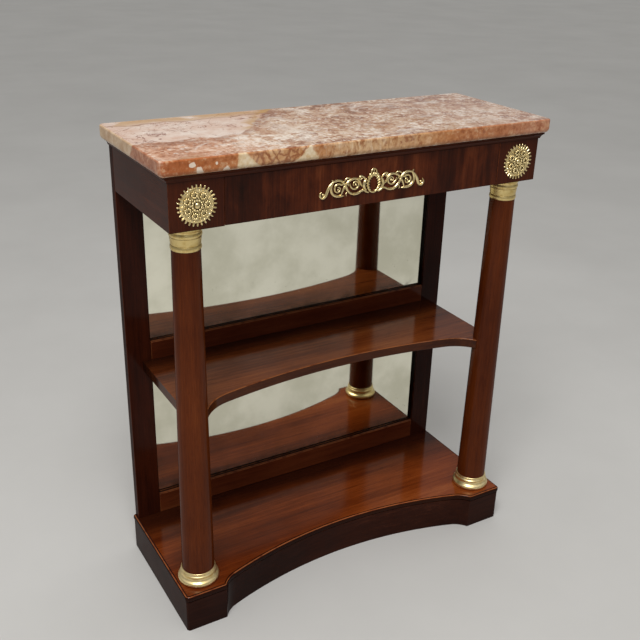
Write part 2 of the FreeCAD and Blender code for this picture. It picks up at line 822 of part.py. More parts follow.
# Drawer: lapped dovetails join the sides to the front, the bottom lies in grooves, the back stands on it.
drawer_bottom_edge = frieze_bottom + s.drawer_lift
drawer_top_edge = frieze_top - s.drawer_gap
runner_bottom = frieze_bottom + s.runner_rise
runner_top = runner_bottom + s.runner_height
side_bottom = runner_top + s.drawer_running_gap
side_top = side_bottom + s.drawer_side_height
box_side = drawer_opening - s.drawer_side_play
box_inside = box_side - s.drawer_side_thickness
front_back = frieze_front + s.drawer_front_thickness
tail_tip = frieze_front + s.drawer_front_lap
drawer_end = frame_front - s.drawer_end_space
panel_bottom = side_bottom + s.drawer_bottom_rise
panel_top = panel_bottom + s.drawer_bottom_thickness

panel_side = box_inside + s.drawer_groove_depth
panel_front = front_back - s.drawer_groove_depth
bottom_panel = box("drawer_panel", (-panel_side, panel_side), (panel_front, drawer_end),
                   (panel_bottom, panel_top))
node(bottom_panel, "drawer_bottom")
tail_pitch = s.drawer_side_height / TAIL_COUNT
side_boards = []
for hand, side in SIDES:
    corners = [(drawer_end, ZERO), (drawer_end, s.drawer_side_height), (front_back, s.drawer_side_height)]
    for index in reversed(range(TAIL_COUNT)):
        root_low = tail_pitch * index + tail_pitch / 4
        root_high = tail_pitch * (index + 1) - tail_pitch / 4
        corners += [(front_back, root_high), (tail_tip, root_high + s.tail_flare),
                    (tail_tip, root_low - s.tail_flare), (front_back, root_low)]
    corners += [(front_back, ZERO)]
    side_board = new_body(f"drawer_board_{hand}")
    outline = new_sketch(side_board, "YZ_Plane", f"drawer_board_{hand}_outline")
    draw(outline, corners)
    pad(side_board, outline, s.drawer_side_thickness, f"drawer_board_{hand}_pad")
    place(side_board, span(side, box_inside, box_side)[0], ZERO, side_bottom)
    side_boards.append(side_board)
    node(cut(f"drawer_side_{hand}", side_board, bottom_panel), f"drawer_side_{hand}")
back_top = side_top - s.drawer_back_drop
node(box("drawer_end_board", (-box_inside, box_inside), (drawer_end - s.drawer_back_thickness, drawer_end),
         (panel_top, back_top)), "drawer_back")

# Runners, guides, kickers and stops that carry and steer the drawer.
runner_inside = drawer_opening - s.runner_width
runner_front = front_back + s.runner_front_gap
stop_front = drawer_end + s.drawer_running_gap
stops = []
for hand, side in SIDES:
    runner = box(f"runner_{hand}", span(side, runner_inside, drawer_opening), (runner_front, frame_front),
                 (runner_bottom, runner_top))
    node(runner, f"drawer_runner_{hand}")
    guide = box(f"guide_{hand}", span(side, drawer_opening, drawer_opening + s.guide_width),
                (block_back, frame_front), (runner_bottom, runner_bottom + s.guide_height))
    node(guide, f"drawer_guide_{hand}")
    kicker = box(f"kicker_{hand}", span(side, runner_inside, drawer_opening), (top_rail_back, frame_front),
                 (side_top + s.kicker_gap, carcass_top))
    node(kicker, f"drawer_kicker_{hand}")
    stops.append(box(f"stop_{hand}", span(side, runner_inside, drawer_opening),
                     (stop_front, stop_front + s.stop_length), (runner_top, runner_top + s.stop_height)))
node(group("stop_set", stops), "drawer_stops")


# Gilt mounts. Rosettes are pinned to the corner blocks, the scroll mount to the drawer front.
facing_front = Rotation(Vector(1, 0, 0), 90)
rosette_x = carcass_side - s.frieze_block_width / 2
frieze_middle = (frieze_bottom + frieze_top) / 2


def pin(name, x, y, z):
    """A round-headed pin driven from the front; y is the surface that the head lies on."""
    facing_in = Rotation(Vector(1, 0, 0), -90)
    head_front = y - s.pin_head_height
    head = cylinder(f"{name}_head", s.pin_head_radius, s.pin_head_height, (x, head_front, z), facing_in)
    shank = cylinder(f"{name}_shank", s.pin_shank_radius, s.pin_length, (x, y, z), facing_in)
    whole = doc.addObject("Part::Fuse", name)
    whole.Base = head
    whole.Tool = shank
    return whole


rosette_pins = []
pin_ring = s.rosette_disc_radius - 2 * s.pin_head_radius
rosette_face = frieze_front - s.rosette_plate
for hand, side in SIDES:
    for end, turn in (("lower", -1), ("upper", 1)):
        rosette_pins.append(pin(f"rosette_pin_{hand}_{end}", side * rosette_x, rosette_face,
                                frieze_middle + turn * pin_ring))
rosette_pin_set = group("rosette_pin_set", rosette_pins)
node(rosette_pin_set, "rosette_pins")

boss = s.rosette_boss_radius
half_ray = s.rosette_ray_width / 2
ray_root = s.rosette_disc_radius - s.rosette_ray_root
ray_end = s.rosette_radius - s.rosette_ray_tip
ray_round = bulge_radius(s.rosette_ray_width, s.rosette_ray_tip)
dome_foot = s.rosette_plate + s.rosette_boss_step
dome_round = bulge_radius(2 * boss, s.rosette_boss_height - dome_foot)
for hand, side in SIDES:
    rosette = turned(f"rosette_cast_{hand}", [
        (ZERO, ZERO), (s.rosette_disc_radius, ZERO), (s.rosette_disc_radius, s.rosette_plate),
        (boss + s.rosette_boss_slope, s.rosette_plate), (boss, dome_foot, dome_round, -1),
        (ZERO, s.rosette_boss_height),
    ])
    ray_sketch = new_sketch(rosette, "XY_Plane", f"rosette_{hand}_ray_outline")
    draw(ray_sketch, [(ray_root, -half_ray), (ray_end, -half_ray, ray_round, -1), (ray_end, half_ray),
                      (ray_root, half_ray)])
    ray = pad(rosette, ray_sketch, s.rosette_plate, f"rosette_{hand}_ray")
    loop_sketch = new_sketch(rosette, "XY_Plane", f"rosette_{hand}_loop_outline")
    draw_circle(loop_sketch, s.rosette_loop_ring, ZERO, s.rosette_loop_radius)
    draw_circle(loop_sketch, s.rosette_loop_ring, ZERO, s.rosette_loop_radius - s.rosette_loop_band)
    loop = pad(rosette, loop_sketch, s.rosette_plate + s.rosette_loop_height, f"rosette_{hand}_loop")
    doc.recompute()
    for feature, count in ((ray, RAY_COUNT), (loop, LOOP_COUNT)):
        pattern = rosette.newObject("PartDesign::PolarPattern", f"{feature.Name}_pattern")
        pattern.Originals = [feature]
        pattern.Axis = (feature.Profile[0], ["N_Axis"])
        pattern.Angle = 360
        pattern.Occurrences = count
        rosette.Tip = pattern
        doc.recompute()
    rosette.Placement.Rotation = facing_front
    place(rosette, side * rosette_x, frieze_front, frieze_middle)
    node(cut(f"rosette_drilled_{hand}", rosette, rosette_pin_set), f"rosette_{hand}")
    drilled = cut(f"frieze_block_{hand}", frieze_blocks[hand], columns[hand], rosette_pin_set)
    node(drilled, f"frieze_block_{hand}")

# Scroll mount, cut from plate: an oval wreath under a palmette, on each side two spirals and a drooping tail.
# Its drawing has X to the right and Z up from the middle of the wreath, angles in degrees from +X towards +Z.
mount_z = frieze_bottom + s.mount_rise
half_band = s.mount_band.value / 2
QUARTER_TURN = 90
HALF_TURN = 180
FULL_TURN = 360
INNER_SPIRAL = {"x": 40, "z": -0.4, "start": 185, "radii": (13.4, 9.4, 5.8)}
OUTER_SPIRAL = {"x": 70, "z": -0.3, "start": 170, "radii": (13.6, 9.8, 5.8)}
TAIL_SWEEP = {"x": 48.2, "z": -25.8, "radius": 48.7, "start": 17, "end": 50}
TAIL_HOOK = {"x": 99.2, "z": -8.8, "radius": 4.5, "start": 180, "end": 420}
BUDS = ((39.6, 1.4, 3.4), (69.7, 0.9, 3.4), (54.6, 7.4, 4.4), (54.6, -3.2, 5.3),
        (27, 11.2, 4.4), (18.4, 0, 6.8), (81.4, 8.4, 4.2), (99, -8.8, 3))
PALMETTE = ((0, 16.8, 5.8), (-3.4, 22, 2.9), (0, 24.2, 3), (3.4, 22, 2.9))


def band(x, z, radius, start, end):
    """A flat band along a piece of a circle, from one angle to another."""

    def along(distance, angles):
        turns = [math.radians(angle) for angle in angles]
        return [Vector(x + distance * math.cos(turn), 0, z + distance * math.sin(turn)) for turn in turns]

    middle = (start + end) / 2
    outer = along(radius + half_band, (start, middle, end))
    inner = along(radius - half_band, (end, middle, start))
    outline = Part.Wire([Part.Arc(*outer).toShape(), Part.makeLine(outer[2], inner[0]),
                         Part.Arc(*inner).toShape(), Part.makeLine(inner[2], outer[0])])
    return Part.Face(outline).extrude(Vector(0, -s.mount_thickness.value, 0))


def bud(x, z, radius):
    """A raised round leaf or flower."""
    return Part.makeCylinder(radius, s.mount_bud_height.value, Vector(x, 0, z), Vector(0, -1, 0))


def spiral(x, z, start, radii):
    """Half circles of falling radius, each running into the next at the top or the bottom."""
    bands = [band(x, z, radii[0], start, QUARTER_TURN + FULL_TURN)]
    height = z + radii[0]
    for index, radius in enumerate(radii[1:]):
        direction = -1 if index % 2 == 0 else 1
        begin = -QUARTER_TURN * direction
        bands.append(band(x, height + direction * radius, radius, begin, begin + HALF_TURN))
        height += 2 * direction * radius
    return bands


def oval(width, height):
    half_height = height / 2
    ellipse = Part.Ellipse(Vector(0, 0, half_height), Vector(width / 2, 0, 0), Vector(0, 0, 0))
    return Part.Face(Part.Wire([ellipse.toShape()])).extrude(Vector(0, -s.mount_thickness.value, 0))


right_half = spiral(**INNER_SPIRAL) + spiral(**OUTER_SPIRAL)
right_half += [band(**TAIL_SWEEP), band(**TAIL_HOOK)]
right_half += [bud(*spot) for spot in BUDS]
left_half = [shape.mirror(Vector(0, 0, 0), Vector(1, 0, 0)) for shape in right_half]
wreath_width = s.mount_oval_width.value
wreath_height = s.mount_oval_height.value
wreath_band = 2 * s.mount_wreath_band.value
wreath_hole = oval(wreath_width - wreath_band, wreath_height - wreath_band)
wreath = oval(wreath_width, wreath_height).cut(wreath_hole)
relief = wreath.multiFuse(right_half + left_half + [bud(*spot) for spot in PALMETTE])
mount_cast = doc.addObject("Part::Feature", "mount_cast")
mount_cast.Shape = relief
place(mount_cast, ZERO, frieze_front, mount_z)

# Pins of the scroll mount, through the foot of each inner spiral and of each tail.
mount_pins = []
for hand, side in SIDES:
    spiral_foot = INNER_SPIRAL["z"] - INNER_SPIRAL["radii"][0]
    hook_foot = TAIL_HOOK["z"] - TAIL_HOOK["radius"]
    for spot, x, z in (("spiral", INNER_SPIRAL["x"], spiral_foot), ("tail", TAIL_HOOK["x"], hook_foot)):
        mount_pins.append(pin(f"mount_pin_{hand}_{spot}", side * x, frieze_front - s.mount_thickness,
                              mount_z + z))
mount_pin_set = group("mount_pin_set", mount_pins)
node(mount_pin_set, "mount_pins")
node(cut("mount_drilled", mount_cast, mount_pin_set), "frieze_mount")

# Drawer front: its back is socketed for the tails of the sides and grooved for the bottom.
drawer_face = drawer_opening - s.drawer_gap
face_board = box("drawer_face_board", (-drawer_face, drawer_face), (frieze_front, front_back),
                 (drawer_bottom_edge, drawer_top_edge))
node(cut("drawer_face", face_board, *side_boards, bottom_panel, mount_pin_set), "drawer_front")


# Writing: nothing goes out unless every object is sound.
doc.recompute()
failed = [item.Label for item in doc.Objects if "Invalid" in item.State or "Error" in item.State]
failed += [piece.Label for piece in pieces if piece.Shape.isNull() or not piece.Shape.isValid()]
if failed:
    raise RuntimeError(f"not built: {failed}")
for piece in pieces:
    piece.Shape.exportStep(f"parts/{piece.Label}.step")
print(f"{len(pieces)} sub-parts written")
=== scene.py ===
import math

import bmesh
import bpy
from mathutils import Matrix, Vector


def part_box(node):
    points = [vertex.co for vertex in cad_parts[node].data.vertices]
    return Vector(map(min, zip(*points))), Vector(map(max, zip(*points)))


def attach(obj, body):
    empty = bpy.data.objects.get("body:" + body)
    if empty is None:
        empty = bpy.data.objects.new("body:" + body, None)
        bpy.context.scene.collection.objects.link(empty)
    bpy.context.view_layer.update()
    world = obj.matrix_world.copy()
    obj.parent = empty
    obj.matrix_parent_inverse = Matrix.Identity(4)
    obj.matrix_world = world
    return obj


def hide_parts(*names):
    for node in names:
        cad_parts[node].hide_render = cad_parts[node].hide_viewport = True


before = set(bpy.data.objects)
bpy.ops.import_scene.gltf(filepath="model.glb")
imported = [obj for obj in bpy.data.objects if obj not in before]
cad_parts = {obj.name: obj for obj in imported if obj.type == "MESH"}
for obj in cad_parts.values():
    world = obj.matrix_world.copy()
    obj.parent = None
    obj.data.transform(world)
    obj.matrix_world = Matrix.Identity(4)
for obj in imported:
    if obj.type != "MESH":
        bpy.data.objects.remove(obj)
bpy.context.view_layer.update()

# Plinth: square corner blocks with a hollowed rail between them, plain rails at the sides and the
# back, and glue blocks inside. Solid mahogany, near black as its own stain and as painted shade,
# polished, its edges lightened as wear where feet and brooms reach and as a painted highlight.


class Shade:
    """A value on one wire of a finish. Sums on it add Math nodes."""

    def __init__(self, tree, socket=None):
        self.tree = tree
        self.socket = socket

    def node(self, kind, settings=(), inputs=(), output=0):
        """Adds a node, its settings first and then its sockets, and gives one of its outputs."""
        made = self.tree.nodes.new("ShaderNode" + kind)
        for name, value in dict(settings).items():
            if name == "stops":
                ramp = made.color_ramp
                ramp.elements.remove(ramp.elements[0])
                ramp.elements[0].position = value[0][0]
                ramp.elements[0].color = value[0][1]
                for spot, tone in value[1:]:
                    ramp.elements.new(spot).color = tone
            else:
                setattr(made, name, value)
        for name, value in dict(inputs).items():
            if isinstance(value, Shade):
                self.tree.links.new(value.socket, made.inputs[name])
            else:
                made.inputs[name].default_value = value
        return Shade(self.tree, made.outputs[output] if made.outputs else None)

    def maths(self, operation, *values):
        """One sum on these values."""
        return self.node("Math", {"operation": operation}, dict(enumerate(values)))

    def __add__(self, other):
        return self.maths("ADD", self, other)

    __radd__ = __add__

    def __sub__(self, other):
        return self.maths("SUBTRACT", self, other)

    def __rsub__(self, other):
        return self.maths("SUBTRACT", other, self)

    def __mul__(self, other):
        return self.maths("MULTIPLY", self, other)

    __rmul__ = __mul__

    def sway(self, share):
        """Noise from 0 to 1 as a push to both sides of nothing."""
        return (self - 0.5) * share

    def step(self, low, high):
        """0 below low, 1 above high and smooth between, or turned round where low is above high."""
        ends = {"Value": self, "From Min": min(low, high), "From Max": max(low, high)}
        ends.update({"To Min": float(low > high), "To Max": float(low < high)})
        return self.node("MapRange", {"interpolation_type": "SMOOTHSTEP"}, ends)

    def mix(self, under, over, cover=1.0):
        """The colour over laid on the colour under, as far as this mask says times its cover."""
        return self.node("Mix", {"data_type": "RGBA"}, {0: self * cover, 6: under, 7: over}, 2)

    def tones(self, *stops):
        """A colour for each value, through stops of value and colour."""
        return self.node("ValToRGB", {"stops": stops}, {"Fac": self})

    def bumps(self, strength, depth):
        """This height as a relief on the surface, its depth in metres."""
        return self.node("Bump", {}, {"Strength": strength, "Distance": depth, "Height": self})

    def axis(self, letter):
        """One axis of this place."""
        return self.node("SeparateXYZ", {}, {"Vector": self}, letter)

    def noise(self, scale, detail=2.0, roughness=0.5, distortion=0.0):
        """Cloudy noise at this place."""
        return self.node("TexNoise", {}, {"Vector": self, "Scale": scale, "Detail": detail,
                                          "Roughness": roughness, "Distortion": distortion})

    def cells(self, scale, output="Distance", feature="F1", **sockets):
        """Cells at this place: how far off a cell's middle or rim is, or the cell's own colour."""
        sockets.update({"Vector": self, "Scale": scale})
        return self.node("TexVoronoi", {"feature": feature}, sockets, output)

    def stretched(self, scale, turn=(0, 0, 0)):
        """This place drawn out along the axes."""
        return self.node("Mapping", {}, {"Vector": self, "Scale": scale, "Rotation": turn})


def paint(code):
    """A colour off a paint card, written RRGGBB, as the linear numbers of a shader."""
    shares = [int(code[at:at + 2], 16) / 255 for at in (0, 2, 4)]
    return [share / 12.92 if share <= 0.04045 else ((share + 0.055) / 1.055) ** 2.4
            for share in shares] + [1]


def card(*codes):
    """Some colours off the paint card."""
    return [paint(code) for code in codes]


def new_finish(name):
    """An empty finish: the material, the wire to start its nodes from, and the place on a piece."""
    finish = bpy.data.materials.new(name)
    finish.use_nodes = True
    finish.node_tree.nodes.clear()
    wire = Shade(finish.node_tree)
    return finish, wire, wire.node("TexCoord", output="Object")


def coated(wire, **sockets):
    """Closes a finish with its shader. Words in socket names are joined by underscores."""
    inputs = {key.replace("_", " "): value for key, value in sockets.items()}
    surface = wire.node("BsdfPrincipled", {}, inputs)
    wire.node("OutputMaterial", {}, {"Surface": surface})


def fibres(place, grain, across, along, detail, twist=0.0):
    """Noise drawn out along the grain, with so many waves a metre across it and along it."""
    drawn = place.stretched([along if axis == grain else across for axis in "xyz"])
    return drawn.noise(1.0, detail, 0.6, twist)


SHADE_AND_DARK = paint("0c0504")
SHADE_AND_DARK_COVER = 0.9
SHADE_AND_DARK_DULLS = 0.6
BACK_SHADE_COVER = 0.92
HIGHLIGHT_AND_WEAR_COVER = 0.55
PORE_COVER = 0.4
GRAIN_DEPTH = 0.0001
POLISH_ROUGHNESS = 0.12
POLISH_INDEX = 1.38


def polished_wood(name, grain, tones, bands=0.45, polish=0.7, shaded_back=None, wild=1.0):
    """Mahogany under French polish. Grain is the axis that its fibres run along, and tones go from
    dark to light. Bands is how strong its broad figure is, and wild how far that strays from the
    grain. A stretch from front to back may be given, over which painted shade darkens the board
    towards its back, under what stands over it."""
    finish, wire, place = new_finish(name)
    board = fibres(place, grain, 14, 1.6, 2, 0.4 * wild)
    streak = fibres(place, grain, 170, 5, 4, 0.2 * wild)
    curl = fibres(place, grain, 26, 15.6, 3, 0.8)
    fibre = fibres(place, grain, 900, 26, 2)
    pore = fibres(place, grain, 2100, 75, 1).step(0.6, 0.7)
    shadow = place.noise(6, 3)
    figure = board.sway(bands) + streak.sway(bands * 0.4 + 0.15) + curl.sway((wild - 1) * 0.2)
    tone = figure + fibre.sway(0.3) + shadow.sway(0.4) + 0.48
    dark, middle, warm, light = tones
    wood = tone.tones((0.05, dark), (0.38, middle), (0.6, warm), (0.95, light))
    wood = pore.mix(wood, dark, PORE_COVER)
    # Marked faces go near black: painted shade where they turn into shadow, and on the base board's
    # bead also its own darker colour.
    dim = wire.node("Attribute", {"attribute_name": "dim"}, output="Fac")
    wood = dim.mix(wood, SHADE_AND_DARK, SHADE_AND_DARK_COVER)
    # Painted shade: the board darkens towards its back, under the shelf or frieze over it.
    if shaded_back:
        depth = place.axis("Y") + shadow.sway(0.1)
        wood = depth.step(*shaded_back).mix(wood, dark, BACK_SHADE_COVER)
    # Marked faces are lightened: a painted highlight along crests and eased arrises, with some
    # wear.
    worn = wire.node("Attribute", {"attribute_name": "worn"}, output="Fac")
    highlight_and_wear = worn * place.noise(70, 3).step(0.3, 0.55)
    wood = highlight_and_wear.mix(wood, light, HIGHLIGHT_AND_WEAR_COVER)
    cloud = place.noise(11, 4, 0.6)
    gloss = (polish - cloud * 0.2) * (1 - dim * SHADE_AND_DARK_DULLS)
    relief = (fibre * 0.4 - pore).bumps(0.2, GRAIN_DEPTH)
    coated(wire, Base_Color=wood, Roughness=0.35 + cloud * 0.2 + highlight_and_wear * 0.2, Normal=relief,
           Specular_IOR_Level=0.0, Coat_Weight=gloss, Coat_Roughness=POLISH_ROUGHNESS,
           Coat_IOR=POLISH_INDEX)
    return finish


GRIME = paint("3a2a1c")
GRIME_COVER = 0.5
SAWN_DEPTH = 0.0002


def raw_wood(name, grain, tones):
    """Sawn or planed wood that was never polished, dull and a little dirty."""
    finish, wire, place = new_finish(name)
    ring = fibres(place, grain, 55, 2.5, 3, 1.2)
    fibre = fibres(place, grain, 700, 22, 3)
    grime = place.noise(9, 5, 0.65).step(0.35, 0.8)
    dark, light = tones
    wood = (ring.sway(1.6) + fibre.sway(0.8) + 0.5).tones((0.1, dark), (0.9, light))
    wood = grime.mix(wood, GRIME, GRIME_COVER)
    relief = (fibre + ring * 0.5).bumps(0.4, SAWN_DEPTH)
    coated(wire, Base_Color=wood, Roughness=0.62 + fibre * 0.25, Normal=relief,
           Specular_IOR_Level=0.25)
    return finish


CREASE = math.radians(34)


def finished(name, shape, finish, slot, body, *nodes):
    """Makes a shape an object that stands for CAD nodes and moves with their body."""
    for face in shape.faces:
        face.smooth = True
    for edge in shape.edges:
        edge.smooth = edge.calc_face_angle(0) < CREASE
    mesh = bpy.data.meshes.new(name)
    shape.to_mesh(mesh)
    shape.free()
    mesh.materials.clear()
    mesh.materials.append(finish)
    made = bpy.data.objects.new(name, mesh)
    bpy.context.scene.collection.objects.link(made)
    made.modifiers.new("even_shading", "WEIGHTED_NORMAL").keep_sharp = True
    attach(made, body)
    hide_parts(*nodes)
    return made


WELD = 0.000002
FLAT = math.radians(0.2)
SHARP = math.radians(40)
LONG_EDGE = 0.012
FINE_EASE = 0.0007
UNDERSIDE = -0.2


def eased(node, finish, ease=FINE_EASE, slot="mahogany", body="carcass", shaded_and_dark=None, highlight_and_wear=None):
    """A copy of a board with its long sharp edges eased, as sanding and polish leave them. Two
    functions of a face's direction say how far it is darkened to near black, from 0 to 1: painted
    shade, and on the base board's bead also its own darker colour; and how far it is lightened as a
    painted highlight with some wear. Eased edges are lightened the same way on top and darkened
    underneath as a painted shadow line."""
    shape = bmesh.new()
    shape.from_mesh(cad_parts[node].data)
    bmesh.ops.remove_doubles(shape, verts=shape.verts, dist=WELD)
    bmesh.ops.dissolve_limit(shape, angle_limit=FLAT, verts=shape.verts, edges=shape.edges)
    worn = shape.faces.layers.float.new("worn")
    dim = shape.faces.layers.float.new("dim")
    for face in shape.faces:
        face[dim] = shaded_and_dark(face.normal) if shaded_and_dark else 0
        face[worn] = highlight_and_wear(face.normal) if highlight_and_wear else 0
    if ease:
        sharp = [edge for edge in shape.edges if edge.is_manifold and edge.is_convex
                 and edge.calc_length() > LONG_EDGE and edge.calc_face_angle() > SHARP]
        rounded = bmesh.ops.bevel(shape, geom=sharp, offset=ease, offset_type="OFFSET", segments=3,
                                  profile=0.5, affect="EDGES", clamp_overlap=True, material=-1)
        # Eased edges: lightened on top as wear and a painted highlight, darkened underneath as a
        # painted shadow line.
        for face in rounded["faces"]:
            face[worn] = face.normal.z > UNDERSIDE
            face[dim] = face.normal.z < UNDERSIDE
    return finished(node + "_piece", shape, finish, slot, body, node)


def kept(node, finish):
    """A CAD node that shows as it is, in its finish."""
    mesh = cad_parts[node].data
    mesh.materials.clear()
    mesh.materials.append(finish)


# Near-black tones: partly the plinth's own dark stain, partly painted shade on a front that gets
# little light.
PLINTH_DARK_AND_SHADE_TONES = card("120604", "210c06", "32150b", "5e301c")
PLINTH_POLISH = 0.38
BLOCK_EASE = 0.0012
PINE_TONES = card("6b4a2a", "a07a4c")
plinth_long = polished_wood("plinth_polish_long", "x", PLINTH_DARK_AND_SHADE_TONES, polish=PLINTH_POLISH)
plinth_deep = polished_wood("plinth_polish_deep", "y", PLINTH_DARK_AND_SHADE_TONES, polish=PLINTH_POLISH)
pine_long = raw_wood("pine_long", "x", PINE_TONES)
pine_deep = raw_wood("pine_deep", "y", PINE_TONES)
pine_upright = raw_wood("pine_upright", "z", PINE_TONES)
for block in ("plinth_block_left", "plinth_block_right"):
    eased(block, plinth_long, BLOCK_EASE)
eased("plinth_front", plinth_long)
eased("plinth_side_left", plinth_deep)
eased("plinth_side_right", plinth_deep)
kept("plinth_back", pine_long)
kept("plinth_glue_blocks", pine_upright)

# Base board: one wide board laid on the plinth, its front hollowed like the plinth's and a bead
# worked round its edge. Red mahogany, French polished, with painted shade towards the back, the
# bead darkened as its own darker colour and as painted shade, and a painted highlight on its crest.
BASE_TONES = card("1f0a06", "5c250b", "7f3b15", "a65e2e")
BASE_BACK_SHADE = (0.01, 0.11)
CREST = (0.7, 0.9)
LEVEL = 0.999
base_polish = polished_wood("base_polish", "x", BASE_TONES, 0.75, 0.78, BASE_BACK_SHADE)


def on_crest(facing):
    """Whether a face of the bead looks forward and up."""
    return CREST[0] < facing.z < CREST[1]


# The bead's crest gets a painted highlight; the rest of its edge goes near black, partly its own
# colour and partly painted shade.
eased("base_board", base_polish, 0, highlight_and_wear=on_crest,
      shaded_and_dark=lambda facing: abs(facing.z) < LEVEL and not on_crest(facing))

# Columns: turned and tapered mahogany with the grain upright, tenoned into the base board below
# and the corner blocks of the frieze above.
COLUMN_TONES = card("220b03", "421907", "5e2a0e", "84461f")
column_polish = polished_wood("column_polish", "z", COLUMN_TONES, 0.3, 0.42)
for column in ("column_left", "column_right"):
    eased(column, column_polish, 0)

# Base rings and capitals: turned brass collars slipped over the ends of the columns, gilt and
# lacquered, dark in their grooves as old tarnish and painted shade. The capitals get a duller brass
# as painted shade under the frieze.
TARNISH_AND_SHADE = paint("523e17")
HOLLOW_REACH = 0.006
PITTING_DEPTH = 0.0001


def gilt_brass(name, turned=0.0, clean="fae5ae", dull="e6ca86"):
    """Gilt brass, patched in a clean and a dull colour and dark in its hollows as tarnish and
    painted shade. Turned brass has fine rings from the lathe, which run level."""
    finish, wire, place = new_finish(name)
    open_air = wire.node("AmbientOcclusion", {"samples": 8, "only_local": True},
                         {"Distance": HOLLOW_REACH}, "AO")
    # Hollows found by occlusion go dark: partly old tarnish, partly painted shade.
    hollow = open_air.step(0.8, 0.3)
    patch = place.noise(120, 4, 0.6).step(0.35, 0.8)
    brass = patch.mix(paint(clean), paint(dull))
    brass = hollow.mix(brass, TARNISH_AND_SHADE, 0.76 - turned * 0.4)
    lathe = place.stretched((2, 2, 2600)).noise(1.0, 2) * turned
    relief = (lathe * 0.35 + place.noise(900, 3) * 0.5).bumps(0.2, PITTING_DEPTH)
    sheen = 0.24 + turned * 0.08
    coated(wire, Base_Color=brass, Metallic=1.0, Normal=relief,
           Roughness=sheen + patch * 0.1 + hollow * 0.2)
    return finish


ring_brass = gilt_brass("ring_brass", 1.0)
# The capitals' duller, deeper brass is painted shade under the frieze.
capital_brass = gilt_brass("capital_brass", 1.0, "ead292", "cfb068")
cast_brass = gilt_brass("cast_brass")
for hand in ("left", "right"):
    eased(f"base_ring_{hand}", ring_brass, 0, "gilt_brass")
    eased(f"capital_{hand}", capital_brass, 0, "gilt_brass")

# Back frame: two stiles and three rails, dowelled, with their inner edges chamfered towards the
# glass. Plain mahogany, darker than the boards, and blackened with painted shade where they turn in
# to the glass.
STILE_TONES = card("140604", "270e07", "3b170b", "60301c")
RAIL_TONES = card("1e0a05", "451b0c", "5d2b15", "824a28")
RAIL_EASE = 0.001
TURNED_IN = 0.5
stile_polish = polished_wood("stile_polish", "z", STILE_TONES, polish=0.32)
rail_polish = polished_wood("rail_polish", "x", RAIL_TONES, polish=0.45)
# Faces turned in to the glass go near black as painted shade; eased arrises get a painted highlight
# with some wear.
eased("rear_stile_left", stile_polish, shaded_and_dark=lambda facing: facing.x > TURNED_IN)
eased("rear_stile_right", stile_polish, shaded_and_dark=lambda facing: facing.x < -TURNED_IN)
for rail in ("bottom_rail", "middle_rail", "back_top_rail"):
    eased(rail, rail_polish, RAIL_EASE, shaded_and_dark=lambda facing: abs(facing.z) > TURNED_IN)
kept("stile_dowels", pine_upright)

# Mirrors: two plates of old silvered glass in the rebates of the back frame, a little green, and
# foxed along their lower edges where damp has got behind the silver.
DULL_SILVER, BRIGHT_SILVER, FOXING = card("dcdac6", "f4f2e0", "4c4236")
DAMP_RISE = (0.03, 0.004)
SPECK_RISE = (0.12, 0.0)
GLASS_WAVE = 0.002


def old_mirror(name, foot):
    """Silvered glass. Foot is the height of its lower edge."""
    finish, wire, place = new_finish(name)
    height = place.axis("Z") - foot
    damp = height.step(*DAMP_RISE) * place.noise(45, 4, 0.7).step(0.42, 0.62)
    speck = place.cells(120.0).step(0.16, 0.08) * place.noise(20, 2).step(0.5, 0.6)
    foxed = damp * 0.6 + speck * height.step(*SPECK_RISE)
    silver = place.noise(8, 4, 0.6).step(0.35, 0.65).mix(DULL_SILVER, BRIGHT_SILVER)
    silver = foxed.mix(silver, FOXING)
    coated(wire, Base_Color=silver, Metallic=1.0, Roughness=0.035 + foxed * 0.3,
           Normal=place.noise(7, 1).bumps(0.02, GLASS_WAVE))
    return finish


for mirror in ("mirror_lower", "mirror_upper"):
    kept(mirror, old_mirror(mirror + "_silver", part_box(mirror)[0].z))

# Backboards: thin pine panels behind the mirrors, held by slotted iron screws, never polished and
# brown with age.
BACK_TONES = card("4a3019", "7d5a34")
BARE_IRON, RUST = card("8d8a84", "5c3a24")
RUST_DEPTH = 0.0001
backboard_wood = raw_wood("backboard_wood", "z", BACK_TONES)
for panel in ("backboard_lower", "backboard_upper"):
    kept(panel, backboard_wood)


def iron(name):
    """Dull screw iron with a bloom of rust."""
    finish, wire, place = new_finish(name)
    rust = place.noise(420, 4, 0.65).step(0.42, 0.62)
    coated(wire, Base_Color=rust.mix(BARE_IRON, RUST), Metallic=1 - rust * 0.8,
           Roughness=0.42 + rust * 0.35, Normal=rust.bumps(0.3, RUST_DEPTH))
    return finish


kept("backboard_screws", iron("screw_iron"))

# Middle shelf: a polished mahogany board with a hollow front and two ears that are housed in the
# columns, dowelled to the middle rail. Its edge is darkened with painted shade and lit along the
# top with a painted highlight, and it darkens towards the back with painted shade under the frieze.
SHELF_TONES = card("1f0c06", "58270f", "783e1b", "9f6134")
SHELF_BACK_SHADE = (0.02, 0.13)
EDGE_TOP = (0.4, 0.95)
EDGE_SHADE_STRENGTH = 0.7
shelf_polish = polished_wood("shelf_polish", "x", SHELF_TONES, 0.75, 1.0, SHELF_BACK_SHADE)
# Painted highlight along the top of the edge, painted shade on the rest of the edge.
eased("middle_shelf", shelf_polish, 0, highlight_and_wear=lambda facing: EDGE_TOP[0] < facing.z < EDGE_TOP[1],
      shaded_and_dark=lambda facing: EDGE_SHADE_STRENGTH * (-EDGE_TOP[1] < facing.z < EDGE_TOP[0]))
kept("shelf_dowels", pine_deep)

